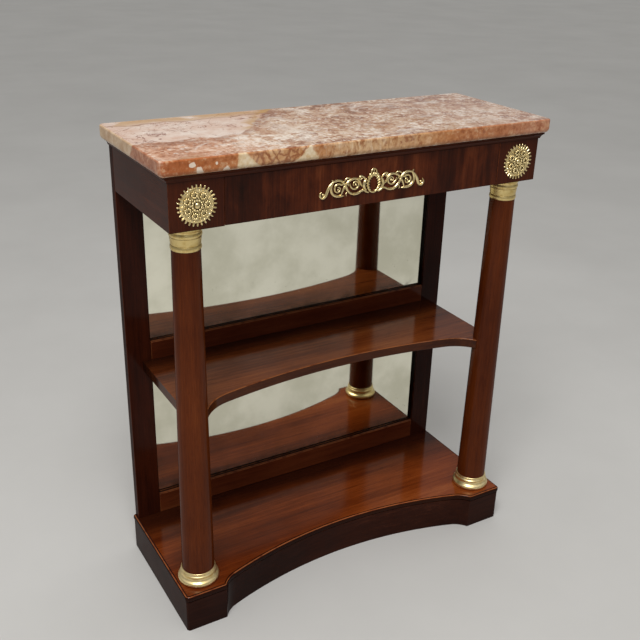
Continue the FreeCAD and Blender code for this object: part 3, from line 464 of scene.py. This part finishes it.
# Frieze: corner blocks over the columns, side aprons and a front rail above the drawer. Veneered
# in dark mahogany, upright on the blocks and level on the aprons.
FRIEZE_TONES = card("190702", "351306", "4d200c", "72391d")
FRIEZE_POLISH = 0.55
frieze_upright = polished_wood("frieze_polish_upright", "z", FRIEZE_TONES, polish=FRIEZE_POLISH)
frieze_deep = polished_wood("frieze_polish_deep", "y", FRIEZE_TONES, polish=FRIEZE_POLISH)
for block in ("frieze_block_left", "frieze_block_right"):
    eased(block, frieze_upright)
for apron in ("side_apron_left", "side_apron_right"):
    eased(apron, frieze_deep)
kept("top_front_rail", pine_long)

# Drawer ways: runners to slide on, guides beside the drawer, kickers above it and two stops
# behind. Pine, glued inside the frieze.
for way in ("drawer_runner", "drawer_guide", "drawer_kicker"):
    for hand in ("left", "right"):
        kept(f"{way}_{hand}", pine_deep)
kept("drawer_stops", pine_long)

# Drawer: dovetailed oak sides and back with a thin bottom, behind a front veneered in flame
# mahogany that fills the frieze between the corner blocks.
OAK_TONES = card("8a6a44", "bd9a6b")
OAK_EASE = 0.0005
FRONT_EASE = 0.0006
oak_deep = raw_wood("oak_deep", "y", OAK_TONES)
oak_long = raw_wood("oak_long", "x", OAK_TONES)
for hand in ("left", "right"):
    eased(f"drawer_side_{hand}", oak_deep, OAK_EASE, "drawer_wood", "drawer")
eased("drawer_back", oak_long, OAK_EASE, "drawer_wood", "drawer")
kept("drawer_bottom", oak_long)
flame_veneer = polished_wood("flame_veneer", "z", FRIEZE_TONES, 0.8, FRIEZE_POLISH, wild=4)
eased("drawer_front", flame_veneer, FRONT_EASE, "mahogany", "drawer")

# Scroll mount: a gilt casting pinned to the drawer front, an oval wreath of leaves under a palmette
# and on each side two running scrolls with a drooping tail. Points are in millimetres from the
# middle of the wreath: across, up, and half the thickness of the rod there.
MILLIMETRE = 0.001
MOUNT_MIDDLE_HEIGHT = 0.8105
ROD_FULLNESS = 1.03
ROD_LIFT = 1.2
SCROLL_RODS = (
    ((9, -14.4, 1.2), (14, -12.4, 1.9), (19, -9.2, 2.0), (24, -10, 1.7), (29, -12.4, 2.1),
     (36, -13.7, 2.4), (44, -12, 2.3), (50.5, -6.8, 2.2), (54.5, 0.2, 2.2), (58.5, 7, 2.2),
     (64, 11.6, 2.2), (71, 13.4, 2.2), (78, 12.4, 2), (81, 13.6, 1.4), (82.4, 15.6, 0.3)),
    ((56.5, 1, 1.4), (52.5, 7.2, 2.1), (46, 11.2, 2.1), (39, 12.9, 2.1), (33, 11.6, 2.2),
     (28.6, 6.8, 2.4), (25.4, 1.2, 1.9), (22.4, -2.8, 0.3)),
    ((47.4, 5.6, 0.8), (45.4, 0, 1.6), (41.2, -4, 1.8), (35.4, -4.8, 1.7), (30.8, -1.6, 1.6),
     (30.2, 3.8, 1.5), (33.8, 7.4, 1.4), (38.4, 6.8, 1.3), (40.4, 3.4, 1.1), (38.6, 0.4, 0.9)),
    ((57.4, -14.6, 0.3), (61, -14, 1.6), (68, -13.9, 2.3), (75.4, -12.3, 2.5), (81, -7.8, 2.4),
     (83.4, -1.4, 2.2), (82.8, 5.4, 2), (79, 11.6, 1.4)),
    ((63.6, -12.4, 1), (61.4, -6.4, 1.5), (58.4, -0.8, 1.9), (55, 3.4, 1.6)),
    ((58, 6.2, 1.2), (63.6, 5.4, 1.9), (69, 7, 1.7), (74.6, 4.8, 1.7), (76.6, -0.6, 1.7),
     (74, -5.6, 1.6), (68.8, -6.4, 1.5), (65.8, -2.8, 1.3), (67.2, 1, 1.2), (70.8, 0.8, 0.9)),
    ((79.4, 11.6, 1.2), (84.4, 7, 2.1), (88.6, 1.4, 2.5), (91.4, -4.6, 2.7), (94.4, -10.4, 2.6),
     (98.8, -13.4, 2.3), (103, -11.4, 2.1), (104, -6.4, 1.7), (101.6, -2.6, 0.4)),
    ((15.6, 8, 1), (18.4, 11.6, 2), (22, 14.4, 1.7), (26.4, 15.6, 1.5), (28.6, 12.6, 1.4),
     (26.2, 9.8, 1.3), (23.4, 11.6, 1)),
    ((45.4, 13.4, 0.3), (49, 15, 1.4), (53, 14.8, 1.5), (56.4, 12.2, 1.1), (58, 9.4, 0.4)),
    ((52, 10.2, 0.4), (51, 5.4, 1.3), (49.4, 1.2, 0.4)),
    ((14, 9.4, 1.2), (17.6, 5.4, 2.4), (19.4, 0, 2.7), (17.8, -5.4, 2.4), (14.2, -10, 1.2)),
    ((52, -8.6, 0.3), (54, -12.4, 1.2), (52.6, -15.4, 0.3)),
)
SCROLL_BEADS = ((35.4, 2.2, 2.1), (70.2, -2.4, 1.7), (98.8, -7.6, 2.3), (26.2, 12.8, 1.1),
                (54.8, 0.8, 2.6))
SCROLL_BEAD_LIFT = 1.8
WREATH_HALF_WIDTH = 11.4
WREATH_HALF_HEIGHT = 14.6
WREATH_POINTS = 18
WREATH_ROD = 1.8
LEAF_HEIGHTS = (9.2, 4.6, 0, -4.6, -9.2)
LEAF_RUN = ((3.8, 2.6, 0.8), (1, 1.6, 1.6), (-0.8, 0.4, 1.3), (-2.4, -0.6, 0.8), (-3.8, -1.4, 0.2))
LEAF_LIFT = 2
CURL_MIDDLE = (6, 14.6)
CURL_RADIUS = 2.7
CURL_POINTS = 6
CURL_ROD = 1.35
CURL_LIFT = 1.8
CROWN_BEADS = ((0, 16.4, 3), (6, 14.6, 1.5), (-6, 14.6, 1.5))
CROWN_LIFT = 1.4
PALMETTE_RODS = (
    ((-4.4, 17.6, 0.9), (-5.2, 20.6, 1.2), (-3.8, 23.8, 1.2), (0, 25.6, 1.3), (3.8, 23.8, 1.2),
     (5.2, 20.6, 1.2), (4.4, 17.6, 0.9)),
    ((0, 17, 1.8), (0, 21, 1), (0, 25, 1)),
)


def lay_rods(shape, rods, lift, closed=False):
    """Casts rods of changing thickness along points, their middles lifted off the wood."""
    line = bpy.data.curves.new("rods", "CURVE")
    line.dimensions = "3D"
    line.bevel_depth = 1
    line.bevel_resolution = 3
    line.resolution_u = 6
    line.use_fill_caps = True
    for rod in rods:
        stretch = line.splines.new("BEZIER")
        stretch.bezier_points.add(len(rod) - 1)
        stretch.use_cyclic_u = closed
        for point, (across, up, half) in zip(stretch.bezier_points, rod):
            point.co = (across, -lift, up)
            point.radius = half * ROD_FULLNESS
            point.handle_left_type = "AUTO"
            point.handle_right_type = "AUTO"
    holder = bpy.data.objects.new("rods", line)
    mesh = bpy.data.meshes.new_from_object(holder)
    shape.from_mesh(mesh)
    bpy.data.objects.remove(holder)
    bpy.data.curves.remove(line)
    bpy.data.meshes.remove(mesh)


def lay_beads(shape, beads, lift, flat=0.8):
    """Rounded beads at points across and up, each with its half width."""
    balls = bmesh.new()
    for across, up, half in beads:
        place = Matrix.Translation((across, -lift, up))
        place = place @ Matrix.Diagonal((half, half * flat, half, 1))
        bmesh.ops.create_uvsphere(balls, u_segments=14, v_segments=8, radius=1, matrix=place)
    mesh = bpy.data.meshes.new("beads")
    balls.to_mesh(mesh)
    balls.free()
    shape.from_mesh(mesh)
    bpy.data.meshes.remove(mesh)


def pinned(name, shape, middle, body, *nodes):
    """Files the back of a casting flat and sets its middle at a point of the wood."""
    everything = shape.verts[:] + shape.edges[:] + shape.faces[:]
    cut = bmesh.ops.bisect_plane(shape, geom=everything, plane_co=(0, 0, 0), plane_no=(0, 1, 0),
                                 clear_outer=True)
    rims = [item for item in cut["geom_cut"] if isinstance(item, bmesh.types.BMEdge)]
    bmesh.ops.edgeloop_fill(shape, edges=rims)
    bmesh.ops.recalc_face_normals(shape, faces=shape.faces)
    seat = Matrix.Translation(middle) @ Matrix.Scale(MILLIMETRE, 4)
    bmesh.ops.transform(shape, matrix=seat, verts=shape.verts)
    return finished(name, shape, cast_brass, "gilt_brass", body, *nodes)


def mirrored(points):
    """The same points on the left."""
    return [(-across, up, half) for across, up, half in points]


def around(count, radius, half, middle=(0, 0), start=0.0):
    """Points of one thickness spread evenly on a circle."""
    turns = [start + math.tau * number / count for number in range(count)]
    return [(middle[0] + radius * math.cos(turn), middle[1] + radius * math.sin(turn), half)
            for turn in turns]


mount = bmesh.new()
lay_rods(mount, SCROLL_RODS, ROD_LIFT)
lay_rods(mount, [mirrored(rod) for rod in SCROLL_RODS], ROD_LIFT)
lay_beads(mount, SCROLL_BEADS + tuple(mirrored(SCROLL_BEADS)), SCROLL_BEAD_LIFT)
wreath = []
for number in range(WREATH_POINTS):
    turn = math.tau * number / WREATH_POINTS
    wreath.append((WREATH_HALF_WIDTH * math.sin(turn), WREATH_HALF_HEIGHT * math.cos(turn),
                   WREATH_ROD))
lay_rods(mount, [wreath], ROD_LIFT, True)
leaves = []
for up in LEAF_HEIGHTS:
    stem = WREATH_HALF_WIDTH * math.sqrt(1 - (up / WREATH_HALF_HEIGHT) ** 2)
    leaf = [(stem + out, up + rise, half) for out, rise, half in LEAF_RUN]
    leaves += [leaf, mirrored(leaf)]
lay_rods(mount, leaves, LEAF_LIFT)
curl = around(CURL_POINTS, CURL_RADIUS, CURL_ROD, CURL_MIDDLE)
lay_rods(mount, [curl, mirrored(curl)], CURL_LIFT, True)
lay_beads(mount, CROWN_BEADS, CROWN_LIFT)
lay_rods(mount, PALMETTE_RODS, ROD_LIFT)
drawer_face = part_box("drawer_front")[0].y
mount_middle = (0, drawer_face, MOUNT_MIDDLE_HEIGHT)
pinned("scroll_mount", mount, mount_middle, "drawer", "frieze_mount")
kept("mount_pins", cast_brass)

# Rosettes: gilt castings pinned to the corner blocks, a rim of rays round seven lumpy loops, then
# an inner ring and a boss. Sizes are in millimetres: runs give the reach from the middle and half
# the thickness there, and lifts are heights over the wood.
RAYS = 28
RAY_RUN = ((24, 0.7), (25.4, 1.7), (27, 1.2), (29, 1.5), (31.6, 1.6), (33, 1), (33.4, 0.1))
RAY_LIFT = 0.7
LOOPS = 7
LOOP_RING = 17.3
LOOP_RADIUS = 4.4
LOOP_ROD = 1
LOOP_LIFT = 1.8
LOOP_LUMPS = 8
LUMP = 1.9
LUMP_LIFT = 2.3
GAP_RUN = ((11.4, 1.9), (14.8, 1.3), (20.6, 1.5), (23.2, 1.9))
GAP_LIFT = 1.2
INNER_RING = 8.2
INNER_ROD = 1.2
INNER_LIFT = 2
INNER_LUMPS = 12
INNER_LUMP_LIFT = 2.4
BOSS = 5
BOSS_LIFT = 2.2
BOSS_FLATNESS = 0.7
PLATE_STEPS = 84
PLATE_OUTLINE = ((0, 0), (28, 0), (28.1, 0.5), (27.4, 1.1), (25.4, 1.5), (23, 1.2), (21.4, 0.7),
                 (9, 0.6), (0, 0.6))


def spoke(turn, run):
    """Points along a run that leaves the middle at this turn."""
    return [(reach * math.cos(turn), reach * math.sin(turn), half) for reach, half in run]


for hand in ("left", "right"):
    rosette = bmesh.new()
    outline = [rosette.verts.new((radius, -height, 0)) for radius, height in PLATE_OUTLINE]
    sides = [rosette.edges.new(pair) for pair in zip(outline, outline[1:])]
    bmesh.ops.spin(rosette, geom=outline + sides, cent=(0, 0, 0), axis=(0, 1, 0), dvec=(0, 0, 0),
                   angle=math.tau, steps=PLATE_STEPS, use_merge=True, use_duplicate=False)
    bmesh.ops.remove_doubles(rosette, verts=rosette.verts, dist=0.0001)
    rays = [spoke(math.tau * number / RAYS, RAY_RUN) for number in range(RAYS)]
    lay_rods(rosette, rays, RAY_LIFT)
    loops = []
    lumps = []
    gaps = []
    for number in range(LOOPS):
        turn = math.tau * number / LOOPS
        middle = (LOOP_RING * math.cos(turn), LOOP_RING * math.sin(turn))
        loops.append(around(LOOP_LUMPS, LOOP_RADIUS, LOOP_ROD, middle, turn))
        lumps += around(LOOP_LUMPS, LOOP_RADIUS, LUMP, middle, turn)
        gaps += spoke(turn + math.pi / LOOPS, GAP_RUN)
    lay_beads(rosette, lumps, LUMP_LIFT)
    lay_rods(rosette, loops, LOOP_LIFT, True)
    lay_beads(rosette, gaps, GAP_LIFT)
    lay_rods(rosette, [around(INNER_LUMPS, INNER_RING, INNER_ROD)], INNER_LIFT, True)
    lay_beads(rosette, around(INNER_LUMPS, INNER_RING, LUMP), INNER_LUMP_LIFT)
    lay_beads(rosette, ((0, 0, BOSS),), BOSS_LIFT, BOSS_FLATNESS)
    low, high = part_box(f"rosette_{hand}")
    middle = ((low.x + high.x) / 2, drawer_face, (low.z + high.z) / 2)
    pinned(f"rosette_{hand}_cast", rosette, middle, "carcass", f"rosette_{hand}")
kept("rosette_pins", cast_brass)

# Cornice moulding: a dark hollow moulding glued under the marble on the front and the sides,
# mitred at the corners.
MOULDING_POLISH = 0.45
MOULDING_EASE = 0.0004
moulding_long = polished_wood("moulding_polish_long", "x", FRIEZE_TONES, polish=MOULDING_POLISH)
moulding_deep = polished_wood("moulding_polish_deep", "y", FRIEZE_TONES, polish=MOULDING_POLISH)
eased("cornice_moulding_front", moulding_long, MOULDING_EASE)
eased("cornice_moulding_left", moulding_deep, MOULDING_EASE)
eased("cornice_moulding_right", moulding_deep, MOULDING_EASE)

# Marble top: a loose slab of peach breccia, its upper edge softened and its lower edge rounded,
# polished. The back left corner is one large pale fragment, the rest is crowded with small ones,
# salmon, tan and rose, and the front edge is cut through larger cream fragments in rust.
MARBLE_MIDDLE_HEIGHT = 0.877
MARBLE_HALF_THICKNESS = 0.013
marble_finish, wire, place = new_finish("peach_breccia")
across = place.axis("X")
deep = place.axis("Y")
raised = place.axis("Z") - MARBLE_MIDDLE_HEIGHT


def churned(scale, amount):
    """The place in the stone, pushed about as the stone was when it set."""
    push = wire.node("TexNoise", {}, {"Vector": place, "Scale": scale, "Detail": 3.0}, "Color")
    return wire.node("VectorMath", {"operation": "MULTIPLY_ADD"},
                     {0: push, 1: (amount, amount, amount), 2: place})


def lots(colour):
    """A lot from 0 to 1 for each broken bit of the stone, drawn from its cell's colour."""
    return wire.node("SeparateColor", {}, {"Color": colour}, "Red")


def soft_bits(drawn, scale, blur):
    """Lots of bits whose rims run into each other."""
    return lots(drawn.cells(scale, "Color", "SMOOTH_F1", Smoothness=blur))


def fragments(drawn, scale, rarity, size):
    """Mask of broken bits, in each cell whose lot is above the rarity, whiter as it is higher.
    Size is the share of the cell that a bit fills."""
    chosen = (lots(drawn.cells(scale, "Color")) - rarity).step(0, 1 - rarity)
    return chosen * drawn.cells(scale).step(size, size * 0.5)


def net(drawn, scale, width):
    """Mask of a net of thin lines round broken bits."""
    return drawn.cells(scale, feature="DISTANCE_TO_EDGE").step(width, 0.0)


def veins(scale, width, twist):
    """Mask of thin lines that wander and twist."""
    return wire.maths("ABSOLUTE", place.noise(scale, 4, 0.55, twist) - 0.5).step(width, 0.0)


def blob(drawn, middle, size):
    """Mask of one rounded fragment about a point of the slab."""
    away = wire.node("VectorMath", {"operation": "DISTANCE"}, {0: drawn, 1: middle}, "Value")
    return away.step(size, size * 0.75)


def painted(value, *stops):
    """Colours off the card along a value."""
    return value.tones(*((spot, paint(code)) for spot, code in stops))


# The crowd of small fragments. Lengths are in metres from the middle of the slab.
TAN_STOPS = ((0.27, "8c6046"), (0.39, "b0856a"), (0.5, "c4a185"), (0.61, "d2b8a0"),
             (0.78, "ecdfd0"))
SALMON_STOPS = ((0.25, "905636"), (0.38, "ba7f59"), (0.5, "cb997c"), (0.62, "d9b094"),
                (0.8, "eedccc"))
SALMON_END = (-0.12, -0.3)
ROSE_END = (0.05, 0.3)
CRUMBLED = (-0.36, -0.16)
STREAKED = (-0.08, 0.1)
# Waves a metre, twist, the noise's thin and full parts, cover and colour of each cloud of tint.
TINTS = ((16, 0.0, 0.44, 0.3, 0.5, "a07860"), (8, 0.8, 0.47, 0.34, 0.6, "ad8058"),
         (13, 1.2, 0.55, 0.68, 0.55, "e8dacb"))
broken = churned(90, 0.012)
clouds = place.noise(7, 4, 0.6)
mottle = place.noise(38, 5, 0.65)
grit = place.noise(170, 4, 0.6)
bits = soft_bits(broken, 120, 0.2)
crowd = place.noise(11, 3).step(0.38, 0.62) * 0.4
ground = clouds * 1.1 + mottle * 0.9 + grit * 0.7 + bits.sway(crowd)
ground = ground + soft_bits(churned(30, 0.02), 45, 0.5) * 0.12 - 0.91
stone = painted(ground, *TAN_STOPS)
salmon = painted(ground, *SALMON_STOPS)
stone = (across + mottle.sway(0.1)).step(*SALMON_END).mix(stone, salmon, 0.85)
stone = across.step(*ROSE_END).mix(stone, paint("c6aaa2"), 0.25)
for scale, twist, thin, full, cover, code in TINTS:
    stone = place.noise(scale, 4, 0.6, twist).step(thin, full).mix(stone, paint(code), cover)
flecks = fragments(broken, 105, 0.55, 0.55) * place.noise(18, 3).step(0.4, 0.56)
stone = flecks.mix(stone, paint("ecdfd2"), 0.85)
crumbs = fragments(churned(150, 0.006), 185, 0.45, 0.6) * place.noise(29, 3).step(0.42, 0.55)
stone = (crumbs * across.step(*CRUMBLED)).mix(stone, paint("efe3d6"), 0.75)
dark_crumbs = fragments(churned(120, 0.008), 150, 0.6, 0.55)
stone = (dark_crumbs * place.noise(23, 3).step(0.42, 0.55)).mix(stone, paint("8f6547"), 0.85)
streaks = place.stretched((0.5, 1.6, 1.0), (0, 0, 0.35)).noise(22, 5, 0.65).step(0.54, 0.68)
stone = (streaks * across.step(*STREAKED)).mix(stone, paint("e6dacf"), 0.6)
brown_veins = veins(30, 0.014, 0.9) * place.noise(25, 3).step(0.42, 0.56)
stone = brown_veins.mix(stone, paint("7f5140"), 0.7)
brown_net = net(churned(60, 0.03), 60, 0.1) * place.noise(19, 3).step(0.5, 0.6)
stone = brown_net.mix(stone, paint("85563f"), 0.45)

# The large pale fragment. Its rim slants in from the left end, then runs along the slab.
CREAM_STOPS = ((0.38, "cfa993"), (0.5, "dac1b0"), (0.62, "e5d6c9"))
RIM_START = -0.19
RIM_SLOPE = 1.24
RIM_SHIFT = 0.024
RIM_FRONT = -0.028
RIM_LEAN = 0.9
RIM_WANDER = 0.045
RIM_BLUR = (-0.003, 0.004)
SEAM = (-0.045, -0.002)
HONEY_BACK = (0.09, 0.125)
HONEY_STOP = (0.144, 0.136)
HONEY_RIM = (0.04, 0.01)
HONEY_START = (-0.2, -0.15)
CRACK_FRONT = (0.1, 0.104)
CRACK_BACK = (0.109, 0.105)
rim = wire.maths("MAXIMUM", (across - RIM_START) * RIM_SLOPE - RIM_SHIFT, RIM_FRONT)
beyond = deep - rim + (raised - MARBLE_HALF_THICKNESS) * RIM_LEAN
beyond = beyond + place.noise(26, 4, 0.6).sway(RIM_WANDER)
pale = beyond.step(*RIM_BLUR)
seam = beyond.step(*SEAM) * place.noise(18, 4).step(0.36, 0.6)
stone = seam.mix(stone, paint("8f6149"), 0.65)
cream = painted(clouds * 0.5 + mottle * 0.35 + grit * 0.15, *CREAM_STOPS)
long_veins = veins(13, 0.013, 1.4) * place.noise(13, 3).step(0.34, 0.48)
cream = long_veins.mix(cream, paint("83503f"), 0.95)
short_veins = veins(30, 0.016, 0.8) * place.noise(21, 3).step(0.42, 0.56)
cream = short_veins.mix(cream, paint("a06a50"), 0.65)
ridge = deep + place.noise(14, 3).sway(0.05)
honey = ridge.step(*HONEY_BACK) * deep.step(*HONEY_STOP)
honey = honey + beyond.step(*HONEY_RIM) * across.step(*HONEY_START)
cream = (honey * place.noise(24, 4).step(0.34, 0.54)).mix(cream, paint("bb9058"), 0.75)
crack = ridge.step(*CRACK_FRONT) * ridge.step(*CRACK_BACK)
cream = crack.mix(cream, paint("8a5a3c"), 0.6)
stone = pale.mix(stone, cream)

# The front edge, from left to right along the slab, and the left end.
FACE_STOPS = ((0.0, "a8592c"), (0.1, "ae6434"), (0.17, "b87646"), (0.25, "c99c6e"),
              (0.33, "b67945"), (0.45, "cda67a"), (0.6, "c8996a"), (0.7, "b47343"),
              (0.86, "b27048"), (1.0, "b97f60"))
CUT_STOPS = ((0.38, "cfae80"), (0.5, "dcc49c"), (0.62, "e6d5b6"))
END_RED_STOPS = ((0.35, "86482a"), (0.5, "a86643"), (0.65, "c28a67"))
END_CREAM_STOPS = ((0.35, "b48d64"), (0.5, "caab86"), (0.65, "dcc5a8"))
SLAB_SHARE = 1.309
WAVY_LEFT = (-0.13, -0.09)
WAVY_RIGHT = (0.09, 0.03)
NETTED_LEFT = (-0.24, -0.22)
NETTED_RIGHT = (-0.12, -0.14)
CHIPS = (((-0.325, -0.136, 0.886), 0.0055), ((-0.313, -0.136, 0.876), 0.0075),
         ((-0.268, -0.136, 0.874), 0.006), ((-0.285, -0.136, 0.884), 0.003))
FRONT_EDGE = (-0.1385, -0.1412)
LEFT_END = (-0.3785, -0.381)
POLISHED_DEPTH = 0.0002
face = painted(across * SLAB_SHARE + 0.5 + mottle.sway(0.08), *FACE_STOPS)
speckle = bits * 0.12 + mottle * 0.4 + grit * 0.48
face = speckle.step(0.5, 0.36).mix(face, paint("874520"), 0.7)
face = speckle.step(0.51, 0.64).mix(face, paint("dcb78e"), 0.5)
flow = place.stretched((1, 1, 0.3)).noise(110, 4, 0.65, 0.6)
wavy = across.step(*WAVY_LEFT) * across.step(*WAVY_RIGHT)
face = (flow.step(0.48, 0.36) * wavy).mix(face, paint("935a30"), 0.7)
face = (flow.step(0.52, 0.66) * wavy).mix(face, paint("e6cdab"), 0.6)
netted = across.step(*NETTED_LEFT) * across.step(*NETTED_RIGHT)
face = (net(broken, 75, 0.2) * (netted * 0.6 + 0.2)).mix(face, paint("84431f"))
wobbly = across + mottle.sway(0.02)
cut_left = wobbly.step(-0.258, -0.254) * (wobbly + raised).step(-0.226, -0.23)
cut_right = (wobbly - raised * 1.2).step(-0.146, -0.142)
cut_right = cut_right * (wobbly + raised * 0.5).step(-0.117, -0.121)
cut_cream = painted(mottle * 0.5 + grit * 0.5, *CUT_STOPS)
face = (cut_left + cut_right).mix(face, cut_cream, 0.9)
for middle, size in CHIPS:
    face = blob(broken, middle, size).mix(face, paint("eadbc8"), 0.9)
stone = deep.step(*FRONT_EDGE).mix(stone, face, 0.92)
end_grain = mottle * 0.5 + speckle * 0.5
end_stone = pale.mix(painted(end_grain, *END_RED_STOPS), painted(end_grain, *END_CREAM_STOPS))
stone = across.step(*LEFT_END).mix(stone, end_stone, 0.85)
coated(wire, Base_Color=stone, Roughness=0.16 + mottle * 0.16, Specular_IOR_Level=0.25,
       Normal=grit.bumps(0.1, POLISHED_DEPTH))
eased("marble_top", marble_finish, 0, "marble")

# Studio: a pale floor, soft light from above and from the front left, and a camera at the place
# that the photograph was taken from.
FLOOR_HALF_WIDTH = 30
FLOOR_TONES = card("c4c2be", "cccac6")
floor_finish, wire, place = new_finish("pale_floor")
floor_tone = place.noise(1.5, 5, 0.6).tones((0.3, FLOOR_TONES[0]), (0.7, FLOOR_TONES[1]))
coated(wire, Base_Color=floor_tone, Roughness=0.6, Specular_IOR_Level=0.2)
floor_shape = bmesh.new()
bmesh.ops.create_grid(floor_shape, x_segments=1, y_segments=1, size=FLOOR_HALF_WIDTH)
floor_mesh = bpy.data.meshes.new("floor")
floor_shape.to_mesh(floor_mesh)
floor_shape.free()
floor_mesh.materials.append(floor_finish)
floor = bpy.data.objects.new("floor", floor_mesh)
scene = bpy.context.scene
scene.collection.objects.link(floor)

SKY_STOPS = ((0.0, "8a8a8b"), (0.3, "a8a8a8"), (0.85, "fafaf9"))
SKY_STRENGTH = 0.7
world = bpy.data.worlds.new("studio")
scene.world = world
world.use_nodes = True
world.node_tree.nodes.clear()
air = Shade(world.node_tree)
sky = painted(air.node("TexCoord", output="Generated").axis("Z"), *SKY_STOPS)
background = air.node("Background", {}, {"Color": sky, "Strength": SKY_STRENGTH})
air.node("OutputWorld", {}, {"Surface": background})

KEY_PLACE = Vector((-1.1, -1.5, 3.4))
KEY_AIM = Vector((0, 0, 0.5))
key_lamp = bpy.data.lights.new("key_light", "AREA")
key_lamp.size = 1.6
key_lamp.energy = 82
key_light = bpy.data.objects.new("key_light", key_lamp)
scene.collection.objects.link(key_light)
key_light.location = KEY_PLACE
key_light.rotation_euler = (KEY_AIM - KEY_PLACE).to_track_quat("-Z", "Y").to_euler()

CAMERA_PLACE = Vector((-0.81766, -1.33506, 1.21695))
CAMERA_YAW = math.radians(30.887)
CAMERA_PITCH = math.radians(24.502)
CAMERA_ROLL = math.radians(1.635)
CAMERA_LENS = 49.73
CAMERA_SENSOR = 36
UP = Vector((0, 0, 1))
level = Vector((math.sin(CAMERA_YAW), math.cos(CAMERA_YAW), 0))
right = Vector((math.cos(CAMERA_YAW), -math.sin(CAMERA_YAW), 0))
forward = level * math.cos(CAMERA_PITCH) - UP * math.sin(CAMERA_PITCH)
upward = UP * math.cos(CAMERA_PITCH) + level * math.sin(CAMERA_PITCH)
sideways = right * math.cos(CAMERA_ROLL) + upward * math.sin(CAMERA_ROLL)
upright = upward * math.cos(CAMERA_ROLL) - right * math.sin(CAMERA_ROLL)
lens = bpy.data.cameras.new("camera")
lens.lens = CAMERA_LENS
lens.sensor_width = CAMERA_SENSOR
camera = bpy.data.objects.new("camera", lens)
scene.collection.objects.link(camera)
stance = Matrix((sideways, upright, -forward)).transposed().to_4x4()
camera.matrix_world = Matrix.Translation(CAMERA_PLACE) @ stance
scene.camera = camera
scene.view_settings.view_transform = "Standard"
